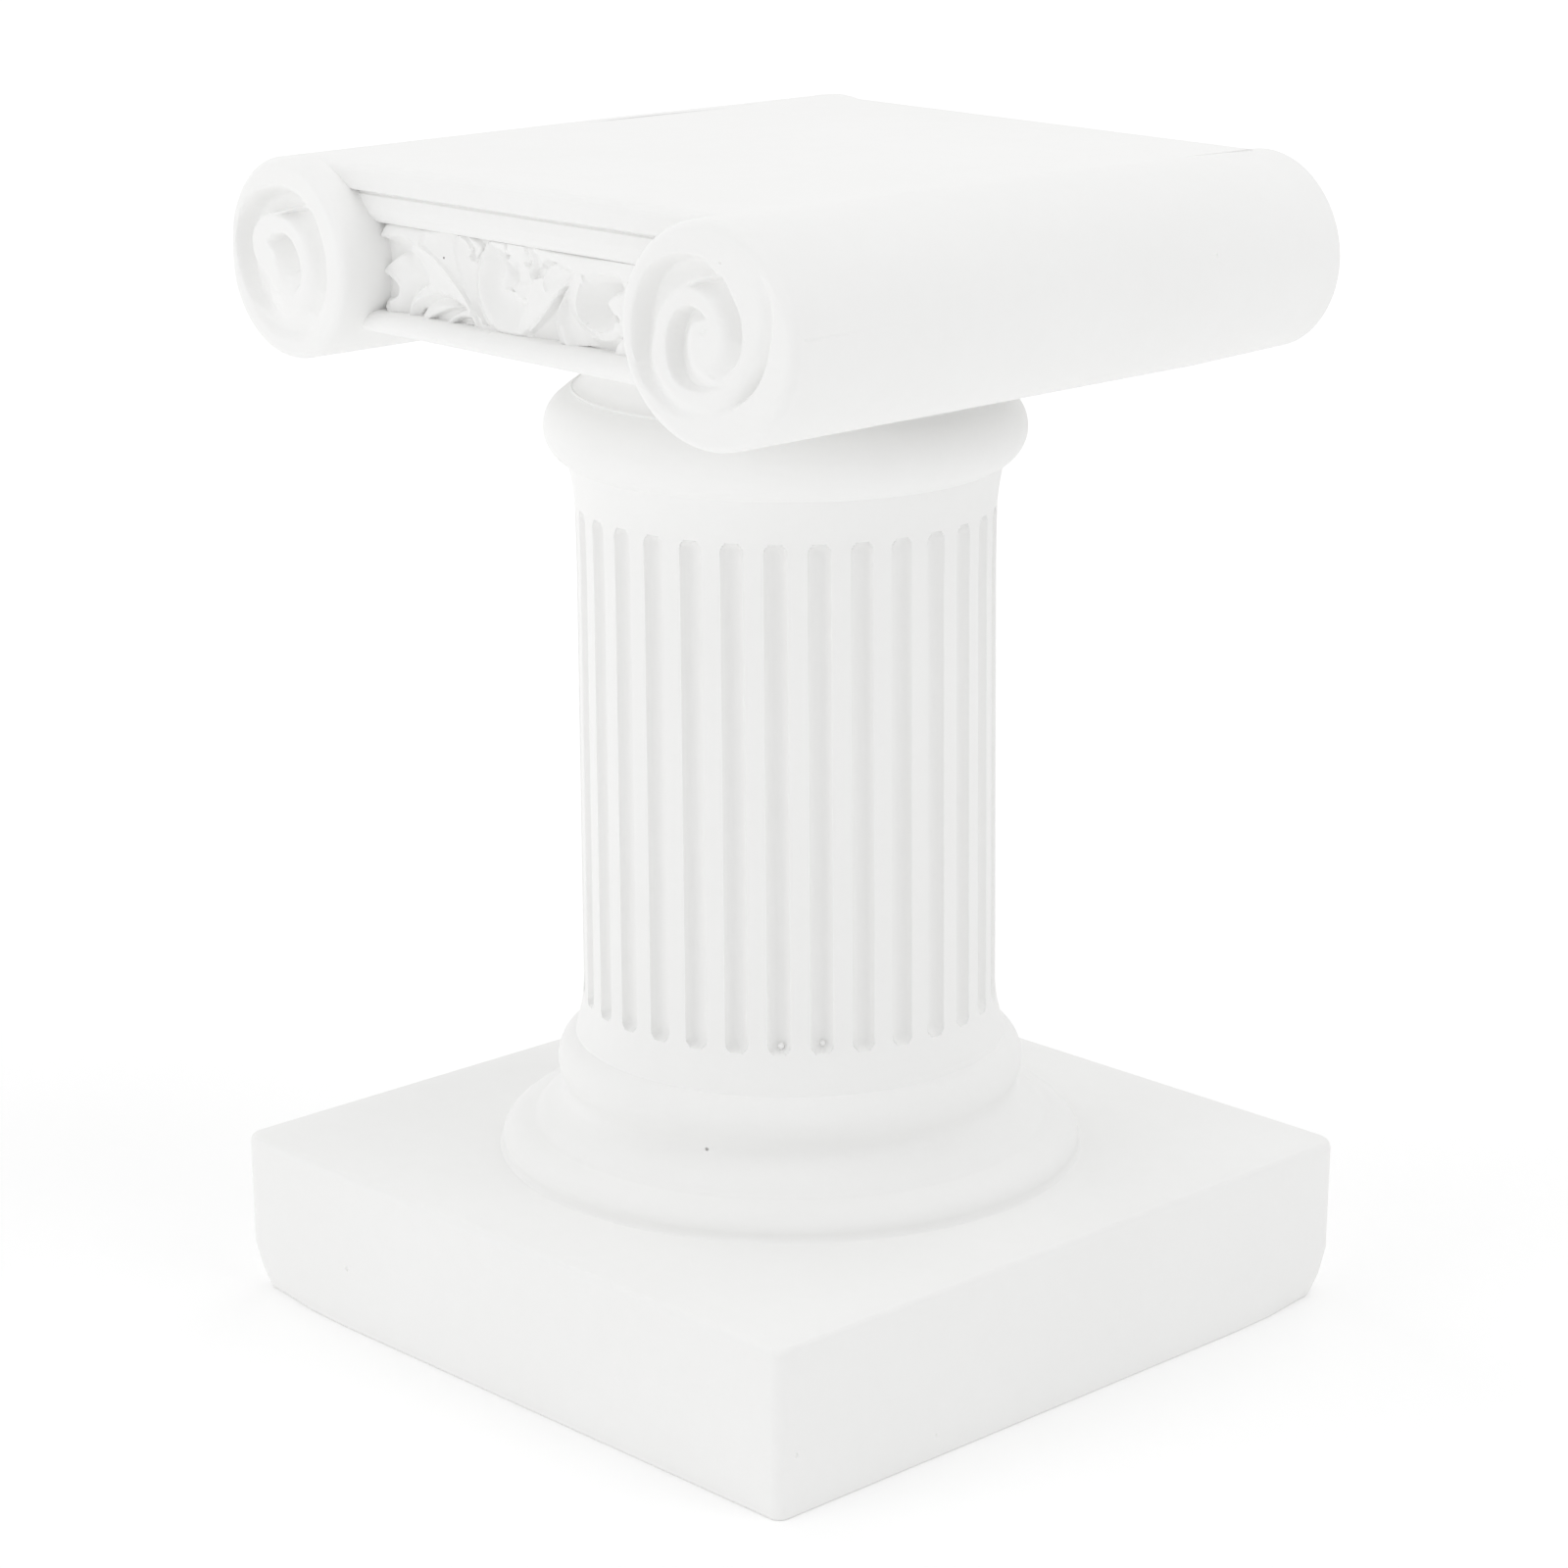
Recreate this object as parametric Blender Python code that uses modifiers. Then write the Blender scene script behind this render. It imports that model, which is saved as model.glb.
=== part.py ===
"""Small Ionic column stand, cast in one piece.

Metres, +Z up. The origin is the middle of the plinth's underside. The capital's
two rolls run along Y, so the volutes and the carved frieze face -Y and +Y.
"""
import math

import bmesh
import bpy
from mathutils import Matrix, Vector

NODE = "roman_column"

# Square plinth
PLINTH_WIDTH = 0.0810
PLINTH_HEIGHT = 0.0170
PLINTH_CRISP_CORNER = 0.0012
PLINTH_WORN_CORNER = 0.0030
PLINTH_TOP_ROUNDING = 0.0009

# Shaft
SHAFT_RADIUS = 0.0211
SHAFT_HEIGHT = 0.0600
SHAFT_END_FLARE = 0.0010
SHAFT_FLARE_HEIGHT = 0.0040

# Turned mouldings under and over the shaft; a level is the height of a torus's middle
BASE_HEIGHT = 0.0121
LOWER_TORUS_PROJECTION = 0.0088
LOWER_TORUS_DEPTH = 0.0063
LOWER_TORUS_RISE = 0.0027
LOWER_TORUS_LEVEL = 0.0008
UPPER_TORUS_PROJECTION = 0.0029
UPPER_TORUS_DEPTH = 0.0030
UPPER_TORUS_RISE = 0.0032
UPPER_TORUS_LEVEL = 0.0094
COVE_PULL_SHARE = 0.5
COVE_PULL_RISE = 0.0014
NECK_HEIGHT = 0.0140
NECK_TORUS_PROJECTION = 0.0031
NECK_TORUS_DEPTH = 0.0039
NECK_TORUS_RISE = 0.0037
NECK_TORUS_LEVEL = 0.0034
DRUM_INSET = 0.0011
DRUM_COVE_HEIGHT = 0.0013

# Flutes
FLUTE_COUNT = 30
FLUTE_SHARE = 0.56
FLUTE_DEPTH = 0.0010
FLUTE_BAND = 0.0042
FLUTE_TURN = math.radians(-46.2)
FLUTE_CLEARANCE = 0.06

# Capital: two rolls, a slab between them and the mouldings under the slab
ROLL_RADIUS = 0.0104
ROLL_SPACING = 0.0602
ROLL_LENGTH = 0.0772
ROLL_ROUNDING = 0.0013
ROLL_SPLAY = math.radians(5.3)
SLAB_DEPTH = 0.0716
SLAB_HEIGHT = 0.0028
SLAB_ROUNDING = 0.0011
QUIRK_HEIGHT = 0.0003
QUIRK_DEPTH = 0.0011
OVOLO_HEIGHT = 0.0034
OVOLO_INSET = 0.0005
OVOLO_DEPTH = 0.0015
FIELD_HEIGHT = 0.0078
FIELD_DEPTH = 0.0036
FILLET_HEIGHT = 0.0026
FILLET_PROJECTION = 0.0004
FILLET_ROUNDING = 0.0007

# Volutes: the first five are shares of the roll's radius
LIP_START = 0.84
LIP_PITCH = 0.365
CHANNEL_SHARE = 0.86
EYE_OFFSET = (-0.12, -0.02)
LIP_TURNS = 1.95
LIP_FIRST_ANGLE = math.radians(236.0)
CHANNEL_DEPTH = 0.0015
CHANNEL_WALL = 0.0004
CHANNEL_FLOOR_SHARE = 0.6
CHANNEL_FLOOR_DEPTH = 0.7 * CHANNEL_DEPTH
CHANNEL_MOUTH = 0.0010
CHANNEL_START = 0.10
CHANNEL_END = 0.25
CHANNEL_FADE = 3.0
CHANNEL_EYE_SHARE = 0.9

# Frieze carving is drawn on a grid: squares from the middle, squares from the bottom
GRID_ACROSS = 44.0
GRID_UP = 8.0
RELIEF_HEIGHT = 0.0023
BLADE_START = 0.15
BLADE_STOP = 0.90
BLADE_ENDS = 0.35

# Facets
TURNED_STEPS = 2 * FLUTE_COUNT
ROLL_SIDES = 32
ROD_SIDES = 8
ROD_BANDS = 5
EMBED = 0.0030
SINK = 0.0006
MERGE = 0.00001

collections = {}


def clear_scene():
    """Empty the file, so that a second run starts clean."""
    for thing in list(bpy.data.objects):
        bpy.data.objects.remove(thing, do_unlink=True)
    for group in list(bpy.data.collections):
        bpy.data.collections.remove(group)
    for key, name in (("part", "Roman column"), ("tool", "Cutters and added shapes")):
        collections[key] = bpy.data.collections.new(name)
        bpy.context.scene.collection.children.link(collections[key])


def plaster():
    """White cast plaster."""
    material = bpy.data.materials.new("Cast plaster")
    material.use_nodes = True
    shader = material.node_tree.nodes["Principled BSDF"]
    shader.inputs["Base Color"].default_value = (0.88, 0.88, 0.87, 1.0)
    shader.inputs["Roughness"].default_value = 0.8
    shader.inputs["Metallic"].default_value = 0.0
    return material


def arc(centre, radii, start, end, count):
    """Points (r, z) along an elliptical arc, angles in degrees."""
    points = []
    for index in range(count):
        angle = math.radians(start + (end - start) * index / (count - 1))
        points.append((centre[0] + radii[0] * math.cos(angle), centre[1] + radii[1] * math.sin(angle)))
    return points


def curve_between(first, pull, last, count):
    """Points strictly between first and last on the curve that pull bends."""
    points = []
    for index in range(1, count + 1):
        t = index / (count + 1)
        points.append(
            tuple((1 - t) ** 2 * a + 2 * t * (1 - t) * b + t * t * c for a, b, c in zip(first, pull, last))
        )
    return points


def levels():
    """Heights of the main joints, from the plinth upwards."""
    base_top = PLINTH_HEIGHT + BASE_HEIGHT
    shaft_top = base_top + SHAFT_HEIGHT
    block_bottom = shaft_top + NECK_HEIGHT
    top = block_bottom + FILLET_HEIGHT + FIELD_HEIGHT + OVOLO_HEIGHT + QUIRK_HEIGHT + SLAB_HEIGHT
    return base_top, shaft_top, block_bottom, top


def turned_profile():
    """Half section (r, z) of everything turned, from the drum down to the plinth."""
    base_top, shaft_top, block_bottom, _ = levels()
    shaft = SHAFT_RADIUS
    drum = shaft - DRUM_INSET

    neck_centre = (shaft + NECK_TORUS_PROJECTION - NECK_TORUS_DEPTH, shaft_top + NECK_TORUS_LEVEL)
    neck = arc(neck_centre, (NECK_TORUS_DEPTH, NECK_TORUS_RISE), 72, -62, 6)
    profile = [(0.0, block_bottom + EMBED), (drum, block_bottom + EMBED)]
    profile.append((drum, neck[0][1] + DRUM_COVE_HEIGHT))
    profile += neck

    for end, inwards, shares in ((shaft_top, -1, (0.1, 0.5, 1.0)), (base_top, 1, (1.0, 0.5, 0.1))):
        for share in shares:
            flare = SHAFT_END_FLARE * (1 - share) ** 2
            profile.append((shaft + flare, end + inwards * share * SHAFT_FLARE_HEIGHT))

    upper_radius = shaft + UPPER_TORUS_PROJECTION - UPPER_TORUS_DEPTH
    upper_centre = (upper_radius, PLINTH_HEIGHT + UPPER_TORUS_LEVEL)
    upper = arc(upper_centre, (UPPER_TORUS_DEPTH, UPPER_TORUS_RISE), 65, -50, 5)
    lower_radius = shaft + LOWER_TORUS_PROJECTION - LOWER_TORUS_DEPTH
    lower_centre = (lower_radius, PLINTH_HEIGHT + LOWER_TORUS_LEVEL)
    lower = arc(lower_centre, (LOWER_TORUS_DEPTH, LOWER_TORUS_RISE), 62, -16, 5)
    cove_radius = upper[-1][0] + COVE_PULL_SHARE * (lower[0][0] - upper[-1][0])
    cove_pull = (cove_radius, lower[0][1] + COVE_PULL_RISE)
    profile += upper + curve_between(upper[-1], cove_pull, lower[0], 2) + lower
    profile.append((lower[-1][0], PLINTH_HEIGHT - EMBED))
    profile.append((0.0, PLINTH_HEIGHT - EMBED))
    return profile


def add_object(name, mesh, key):
    """Put a mesh in the file, as the part or as a hidden shape that shapes it."""
    thing = bpy.data.objects.new(name, mesh)
    collections[key].objects.link(thing)
    if key == "tool":
        thing.hide_render = True
        thing.display_type = "WIRE"
    return thing


def mesh_from(name, shape):
    """Turn a bmesh into a mesh with its faces pointing out."""
    bmesh.ops.remove_doubles(shape, verts=shape.verts, dist=MERGE)
    bmesh.ops.recalc_face_normals(shape, faces=shape.faces)
    mesh = bpy.data.meshes.new(name)
    shape.to_mesh(mesh)
    shape.free()
    return mesh


def turned_body():
    """Turn the profile, then widen every other facet so that a flute fits inside it."""
    mesh = bpy.data.meshes.new("Turned profile")
    profile = turned_profile()
    mesh.from_pydata(
        [(radius, 0.0, height) for radius, height in profile],
        [(index, index + 1) for index in range(len(profile) - 1)],
        [],
    )
    guide = add_object("Turned guide", mesh, "tool")
    screw = guide.modifiers.new("Turning", "SCREW")
    screw.axis = "Z"
    screw.steps = TURNED_STEPS
    screw.render_steps = TURNED_STEPS
    screw.use_merge_vertices = True
    screw.merge_threshold = MERGE
    solid = evaluated_mesh(guide, NODE)
    bpy.data.objects.remove(guide, do_unlink=True)

    step = math.tau / TURNED_STEPS
    wide = (FLUTE_SHARE + FLUTE_CLEARANCE) * math.tau / FLUTE_COUNT
    shift = (wide - step) / 2
    for vertex in solid.vertices:
        radius = math.hypot(vertex.co.x, vertex.co.y)
        if radius < MERGE:
            continue
        index = round(math.atan2(vertex.co.y, vertex.co.x) / step)
        angle = index * step + (shift if index % 2 else -shift) + FLUTE_TURN - step / 2
        vertex.co.x = radius * math.cos(angle)
        vertex.co.y = radius * math.sin(angle)
    return add_object(NODE, solid, "part")


def evaluated_mesh(thing, name):
    """The mesh that the modifiers of an object give."""
    graph = bpy.context.evaluated_depsgraph_get()
    mesh = bpy.data.meshes.new_from_object(thing.evaluated_get(graph))
    mesh.name = name
    return mesh


def plinth():
    """Square block: one crisp upright edge, three worn ones, and a soft top edge."""
    shape = bmesh.new()
    bmesh.ops.create_cube(shape, size=1.0)
    size = Vector((PLINTH_WIDTH, PLINTH_WIDTH, PLINTH_HEIGHT))
    bmesh.ops.scale(shape, vec=size, verts=shape.verts)
    bmesh.ops.translate(shape, vec=(0, 0, PLINTH_HEIGHT / 2), verts=shape.verts)
    upright = [edge for edge in shape.edges if abs(edge.verts[0].co.z - edge.verts[1].co.z) > MERGE]
    crisp = [edge for edge in upright if edge.verts[0].co.x > 0 > edge.verts[0].co.y]
    worn = [edge for edge in upright if edge not in crisp]
    for edges, radius in ((crisp, PLINTH_CRISP_CORNER), (worn, PLINTH_WORN_CORNER)):
        bmesh.ops.bevel(shape, geom=edges, offset=radius, segments=3, profile=0.5, affect="EDGES")
    rim = [
        edge
        for edge in shape.edges
        if all(vertex.co.z > PLINTH_HEIGHT - MERGE for vertex in edge.verts)
    ]
    bmesh.ops.bevel(shape, geom=rim, offset=PLINTH_TOP_ROUNDING, segments=2, profile=0.5, affect="EDGES")
    return add_object("Plinth block", mesh_from("Plinth block", shape), "tool")


def block_side():
    """Half outline (y, z) of the block between the rolls, from its underside to its top."""
    _, _, bottom, top = levels()
    face = SLAB_DEPTH / 2
    fillet_top = bottom + FILLET_HEIGHT
    field_top = fillet_top + FIELD_HEIGHT
    quirk = field_top + OVOLO_HEIGHT
    fillet = face + FILLET_PROJECTION
    ground = face - FIELD_DEPTH
    outline = [(fillet - FILLET_ROUNDING, bottom), (fillet, bottom + FILLET_ROUNDING)]
    outline += [(fillet, fillet_top - FILLET_ROUNDING), (fillet - FILLET_ROUNDING, fillet_top)]
    outline += [(ground, fillet_top), (ground, field_top)]
    for t in (0.0, 0.35, 0.7, 1.0):
        lean = OVOLO_DEPTH * (1 - t) ** 2
        outline.append((face - OVOLO_INSET - lean, field_top + t * OVOLO_HEIGHT))
    outline += [(face - QUIRK_DEPTH, quirk), (face - QUIRK_DEPTH, quirk + QUIRK_HEIGHT)]
    outline += [(face, quirk + QUIRK_HEIGHT), (face, top - SLAB_ROUNDING), (face - SLAB_ROUNDING, top)]
    return outline


def block():
    """Block between the rolls, the same at the front and at the back."""
    half = block_side()
    outline = [(-y, z) for y, z in half] + [(y, z) for y, z in reversed(half)]
    reach = ROLL_SPACING / 2
    sections = [[Vector((x, y, z)) for y, z in outline] for x in (-reach, reach)]
    return add_object("Capital block", mesh_from("Capital block", loft(sections)), "tool")


def loft(sections):
    """Closed solid through rings of points that all have the same number of points."""
    shape = bmesh.new()
    rings = [[shape.verts.new(point) for point in ring] for ring in sections]
    for near, far in zip(rings, rings[1:]):
        for index in range(len(near)):
            after = (index + 1) % len(near)
            shape.faces.new((near[index], near[after], far[after], far[index]))
    shape.faces.new(rings[0])
    shape.faces.new(list(reversed(rings[-1])))
    return shape


def roll_height():
    """Height of the rolls' axis: their tops lie flush with the slab."""
    return levels()[3] - ROLL_RADIUS


def rolls():
    """Two plain rolls along Y with rounded ends, which lean back towards their outer sides."""
    joined = bmesh.new()
    rounding = arc((ROLL_RADIUS - ROLL_ROUNDING, -ROLL_ROUNDING), (ROLL_ROUNDING, ROLL_ROUNDING), 0, 90, 4)
    for side in (-1, 1):
        near = [roll_ring(side, -1, radius, out) for radius, out in reversed(rounding)]
        far = [roll_ring(side, 1, radius, out) for radius, out in rounding]
        append(joined, mesh_from("Roll", loft(near + far)))
    return add_object("Rolls", plain_mesh("Rolls", joined), "tool")


def roll_ring(side, end, radius, out):
    """Ring of points round a roll, out from the middle of its end face."""
    points = []
    for index in range(ROLL_SIDES):
        angle = math.tau * (index + 0.5) / ROLL_SIDES
        points.append(face_point(side, end, radius * math.cos(angle), radius * math.sin(angle), out))
    return points


def face_point(side, end, across, up, out):
    """Point on a volute's face: across and up from its middle, out from the face."""
    x = side * (ROLL_SPACING / 2 + across)
    y = end * (ROLL_LENGTH / 2 - across * math.tan(ROLL_SPLAY) + out)
    return Vector((x, y, roll_height() + up))


def volute_channel(side, end):
    """Spiral channel with a steep outer wall and a floor that rises inwards."""
    steps = round(16 * LIP_TURNS)
    sections = []
    for index in range(steps + 1):
        t = index / steps
        angle = LIP_FIRST_ANGLE - math.tau * LIP_TURNS * t
        lip = ROLL_RADIUS * (LIP_START - LIP_PITCH * LIP_TURNS * t)
        width = min(ROLL_RADIUS * LIP_PITCH * CHANNEL_SHARE, CHANNEL_EYE_SHARE * lip)
        share = min(1.0, CHANNEL_START + CHANNEL_FADE * t, CHANNEL_END + CHANNEL_FADE * (1 - t))
        ring = []
        for radius, out in (
            (lip, CHANNEL_MOUTH),
            (lip - CHANNEL_WALL, -share * CHANNEL_DEPTH),
            (lip - CHANNEL_FLOOR_SHARE * width, -share * CHANNEL_FLOOR_DEPTH),
            (lip - width, CHANNEL_MOUTH),
        ):
            across = EYE_OFFSET[0] * ROLL_RADIUS + radius * math.cos(angle)
            up = EYE_OFFSET[1] * ROLL_RADIUS + radius * math.sin(angle)
            ring.append(face_point(side, end, across, up, out))
        sections.append(ring)
    return loft(sections)


def volute_channels():
    """The four channels, one on each end of each roll."""
    joined = bmesh.new()
    for side in (-1, 1):
        for end in (-1, 1):
            append(joined, mesh_from("Channel", volute_channel(side, end)))
    return add_object("Volute channels", plain_mesh("Volute channels", joined), "tool")


def append(target, mesh):
    """Add a mesh to a bmesh as one more closed shell."""
    target.from_mesh(mesh)
    bpy.data.meshes.remove(mesh)


def flute_cutters():
    """Upright rods with round ends, sunk into the shaft."""
    base_top, shaft_top, _, _ = levels()
    chord = FLUTE_SHARE * math.tau * SHAFT_RADIUS / FLUTE_COUNT
    radius = (chord * chord / 4 + FLUTE_DEPTH * FLUTE_DEPTH) / (2 * FLUTE_DEPTH)
    low = base_top + FLUTE_BAND + chord / 2
    high = shaft_top - FLUTE_BAND - chord / 2
    belt = math.cos(math.pi / 2 / ROD_BANDS)
    joined = bmesh.new()
    for index in range(FLUTE_COUNT):
        rod = bmesh.new()
        bmesh.ops.create_uvsphere(
            rod, u_segments=ROD_SIDES, v_segments=ROD_BANDS, radius=radius / belt
        )
        for vertex in rod.verts:
            end = high if vertex.co.z > 0 else low
            vertex.co.z = end + vertex.co.z * belt * chord / 2 / radius
        turn = Matrix.Rotation(FLUTE_TURN + math.tau * index / FLUTE_COUNT, 4, "Z")
        place = Matrix.Translation((SHAFT_RADIUS - FLUTE_DEPTH + radius, 0, 0))
        bmesh.ops.transform(rod, matrix=turn @ place, verts=rod.verts)
        append(joined, mesh_from("Flute", rod))
    return add_object("Flutes", plain_mesh("Flutes", joined), "tool")


def plain_mesh(name, shape):
    """Turn a bmesh of several closed shells into a mesh as it is."""
    mesh = bpy.data.meshes.new(name)
    shape.to_mesh(mesh)
    shape.free()
    return mesh


def blade(path, widths, crest, lean=0.0):
    """Closed carved rib along a path of grid points.

    It has a sharp crest, tapers as widths says, and its crest leans to one side by lean.
    """
    sections = []
    last = len(path) - 1
    for index, (across, up) in enumerate(path):
        before = path[max(index - 1, 0)]
        after = path[min(index + 1, last)]
        run = Vector((after[0] - before[0], after[1] - before[1])).normalized()
        t = index / last
        width = taper(widths, t)
        swell = math.sin(math.pi * (BLADE_START + (BLADE_STOP - BLADE_START) * t))
        rise = RELIEF_HEIGHT * crest * (BLADE_ENDS + (1 - BLADE_ENDS) * swell)
        ring = []
        for offset, out in ((-1.0, -SINK), (lean, rise), (1.0, -SINK)):
            ring.append(
                frieze_point(across - run.y * width * offset, up + run.x * width * offset, out)
            )
        sections.append(ring)
    return mesh_from("Blade", loft(sections))


def taper(widths, t):
    """Value at t, from 0 to 1, on straight runs between evenly spaced widths."""
    place = t * (len(widths) - 1)
    index = min(int(place), len(widths) - 2)
    return widths[index] + (place - index) * (widths[index + 1] - widths[index])


def frieze_point(across, up, out):
    """Point of the front frieze: grid squares across and up, metres out from its ground."""
    _, _, bottom, _ = levels()
    half = ROLL_SPACING / 2 - ROLL_RADIUS
    x = across / (GRID_ACROSS / 2) * half
    z = bottom + FILLET_HEIGHT + up / GRID_UP * FIELD_HEIGHT
    return Vector((x, -(SLAB_DEPTH / 2 - FIELD_DEPTH + out), z))


def bow(first, pull, last, steps):
    """Grid points on a curved stroke."""
    return [first] + curve_between(first, pull, last, steps - 1) + [last]


def scroll_path(centre, start, turns, outer, inner, steps):
    """Grid points on a spiral that winds inwards from outer to inner."""
    points = []
    for index in range(steps + 1):
        t = index / steps
        angle = math.radians(start) + math.tau * turns * t
        radius = outer + (inner - outer) * t
        points.append((centre[0] + radius * math.cos(angle), centre[1] + radius * math.sin(angle)))
    return points


def frieze_blades():
    """Acanthus scroll of the front frieze, from its left end to its right end."""
    root = (-6.3, -0.3)
    blades = [
        blade(bow(root, (-10.5, 7.0), (-22.6, 7.4), 6), (0.4, 1.0, 1.7, 1.4, 0.5), 1.1, 0.4),
        blade(bow(root, (-12.0, 4.6), (-22.4, 3.9), 6), (0.3, 1.2, 1.8, 1.5, 0.4), 1.1, 0.2),
        blade(bow(root, (-13.5, 3.4), (-22.2, 0.2), 6), (0.3, 1.0, 1.6, 1.5, 0.4), 1.0, 0.1),
        blade(bow(root, (-11.5, 3.0), (-16.6, -0.2), 5), (0.3, 0.9, 1.1, 0.5), 0.85),
        blade(bow(root, (-9.5, 2.3), (-12.6, -0.2), 4), (0.3, 0.7, 0.8, 0.4), 0.7),
        blade(bow(root, (-10.2, 5.0), (-9.0, 8.1), 6), (0.35, 0.6, 1.0, 1.2, 0.7), 1.0, -0.3),
    ]
    first = scroll_path((-0.6, 3.9), 62, -1.42, 5.4, 1.0, 14)
    blades.append(blade(first, (0.6, 1.5, 1.9, 1.7, 1.0), 1.15, 0.35))
    for first, last in (((-0.8, 5.0), (-2.2, 7.9)), ((0.6, 5.2), (0.9, 8.0)), ((2.2, 5.0), (4.2, 7.8))):
        middle = ((first[0] + last[0]) / 2 - 0.3, (first[1] + last[1]) / 2)
        blades.append(blade(bow(first, middle, last, 3), (0.5, 0.9, 0.5), 0.8))
    blades.append(blade(bow((5.2, -0.3), (4.6, 2.6), (7.0, 5.6), 5), (0.4, 0.9, 0.9, 0.4), 0.9, 0.3))
    second = scroll_path((10.8, 3.9), 150, 1.40, 4.6, 0.9, 13)
    blades.append(blade(second, (0.6, 1.3, 1.7, 1.5, 0.9), 1.1, -0.3))
    for pull, tip, width in (
        ((15.0, 6.0), (22.6, 7.2), 1.5),
        ((16.0, 3.6), (22.4, 3.4), 1.6),
        ((14.5, 1.0), (21.8, 0.0), 1.2),
    ):
        blades.append(blade(bow((12.6, 1.2), pull, tip, 5), (0.4, 1.0, width, 0.4), 1.0, 0.2))
    return blades


def frieze_relief():
    """Carving of both friezes, as one body for each blade; the back repeats the front, turned round."""
    joined = bmesh.new()
    for mesh in frieze_blades():
        joined.from_mesh(mesh)
        mesh.transform(Matrix.Rotation(math.pi, 4, "Z"))
        append(joined, mesh)
    return add_object("Frieze carving", plain_mesh("Frieze carving", joined), "tool")


def shape_with(thing, tool, operation, overlapping=False):
    """Add or cut one shape."""
    step = thing.modifiers.new(tool.name, "BOOLEAN")
    step.operation = operation
    step.solver = "EXACT"
    step.object = tool
    step.use_self = overlapping


def main():
    """Build the casting."""
    clear_scene()
    column = turned_body()
    shape_with(column, flute_cutters(), "DIFFERENCE")
    shape_with(column, plinth(), "UNION")
    shape_with(column, block(), "UNION")
    shape_with(column, rolls(), "UNION")
    shape_with(column, frieze_relief(), "UNION", overlapping=True)
    shape_with(column, volute_channels(), "DIFFERENCE")
    column.data.materials.append(plaster())
    column.data.shade_smooth()
    column.data.set_sharp_from_angle(angle=math.radians(30))


main()
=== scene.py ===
"""Looks of a small one-piece plaster column stand with an Ionic capital.

Sizes in the classes are millimetres. The origin is the middle of the plinth's
underside, +Z is up, the carved friezes face -Y and +Y, and the rolls run along Y.
"""
import logging
import math
from dataclasses import dataclass, field
from enum import Enum
from typing import Any, Callable, Sequence

import bpy
import numpy as np
from mathutils import Matrix, Vector


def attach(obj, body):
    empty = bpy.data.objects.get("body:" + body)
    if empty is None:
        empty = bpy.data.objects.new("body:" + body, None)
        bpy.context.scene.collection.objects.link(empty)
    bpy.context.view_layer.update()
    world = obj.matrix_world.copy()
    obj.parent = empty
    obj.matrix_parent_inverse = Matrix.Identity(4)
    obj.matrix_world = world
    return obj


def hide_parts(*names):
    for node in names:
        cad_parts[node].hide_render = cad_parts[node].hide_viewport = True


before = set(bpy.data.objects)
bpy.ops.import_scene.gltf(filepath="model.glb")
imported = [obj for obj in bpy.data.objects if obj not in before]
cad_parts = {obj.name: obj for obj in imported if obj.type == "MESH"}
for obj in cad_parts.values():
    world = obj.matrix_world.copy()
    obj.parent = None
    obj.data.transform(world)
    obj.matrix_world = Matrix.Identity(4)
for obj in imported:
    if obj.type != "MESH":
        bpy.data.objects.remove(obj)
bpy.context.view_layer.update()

Point = tuple[float, float]
Line = tuple[Point, ...]
Row = tuple[float, ...]
Spot = tuple[float, float, float, float]
Corner = tuple[int, int, float]
Colour = tuple[float, float, float, float]
Heights = Callable[[np.ndarray], np.ndarray]
Pose = Callable[[np.ndarray, np.ndarray], np.ndarray]

# In metres: one millimetre, how close vertices are merged after a join, and where a roll's ends meet
MM = 0.001
MERGE = 0.0000015
SEAM = 0.00002

# Height of the capital's underside and of its middle line, in millimetres
CAPITAL_BOTTOM = 103.1
CAPITAL_MIDDLE = 109.6

LOG = logging.getLogger("column")


class Side(Enum):
    """Which roll, seen from the front."""

    LEFT = -1
    RIGHT = 1


class Face(Enum):
    """Which way a carved face looks."""

    FRONT = -1
    BACK = 1


class Fit(Enum):
    """What a tool piece does to the piece that it meets."""

    JOIN = "UNION"
    CUT = "DIFFERENCE"


def smooth_line(points: Sequence[Point], count: int) -> np.ndarray:
    """Points on a smooth curve through the given points.

    Args:
        points: The points that the curve passes through.
        count: How many points to return.

    Returns:
        An array of count rows (x, y), evenly spread over the spans.
    """
    knots = np.array([points[0], *points, points[-1]], float)
    place = np.linspace(0, len(points) - 1, count)
    span = np.minimum(place.astype(int), len(points) - 2)
    t = (place - span)[:, None]
    a, b, c, d = (knots[span + shift] for shift in range(4))
    return 0.5 * (
        2 * b + (c - a) * t + (2 * a - 5 * b + 4 * c - d) * t**2 + (3 * b - a - 3 * c + d) * t**3
    )


def eased(share: np.ndarray) -> np.ndarray:
    """Smooth step of values from 0 to 1."""
    share = np.clip(share, 0, 1)
    return share * share * (3 - 2 * share)


def nearest_on(line: np.ndarray, places: np.ndarray) -> tuple[np.ndarray, np.ndarray]:
    """Distance from places to a line, and how far along the line they are nearest to it.

    Args:
        line: Rows (across, up) of the line's points.
        places: Rows (across, up).

    Returns:
        The distances, and shares from 0 at the line's start to 1 at its end.
    """
    best = np.full(len(places), np.inf)
    along = np.zeros(len(places))
    for index, (start, stop) in enumerate(zip(line, line[1:])):
        reach = stop - start
        share = np.clip((places - start) @ reach / max(reach @ reach, 1e-12), 0, 1)
        gap = np.hypot(*(places - start - share[:, None] * reach).T)
        nearer = gap < best
        best[nearer] = gap[nearer]
        along[nearer] = (index + share[nearer]) / (len(line) - 1)
    return best, along


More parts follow.
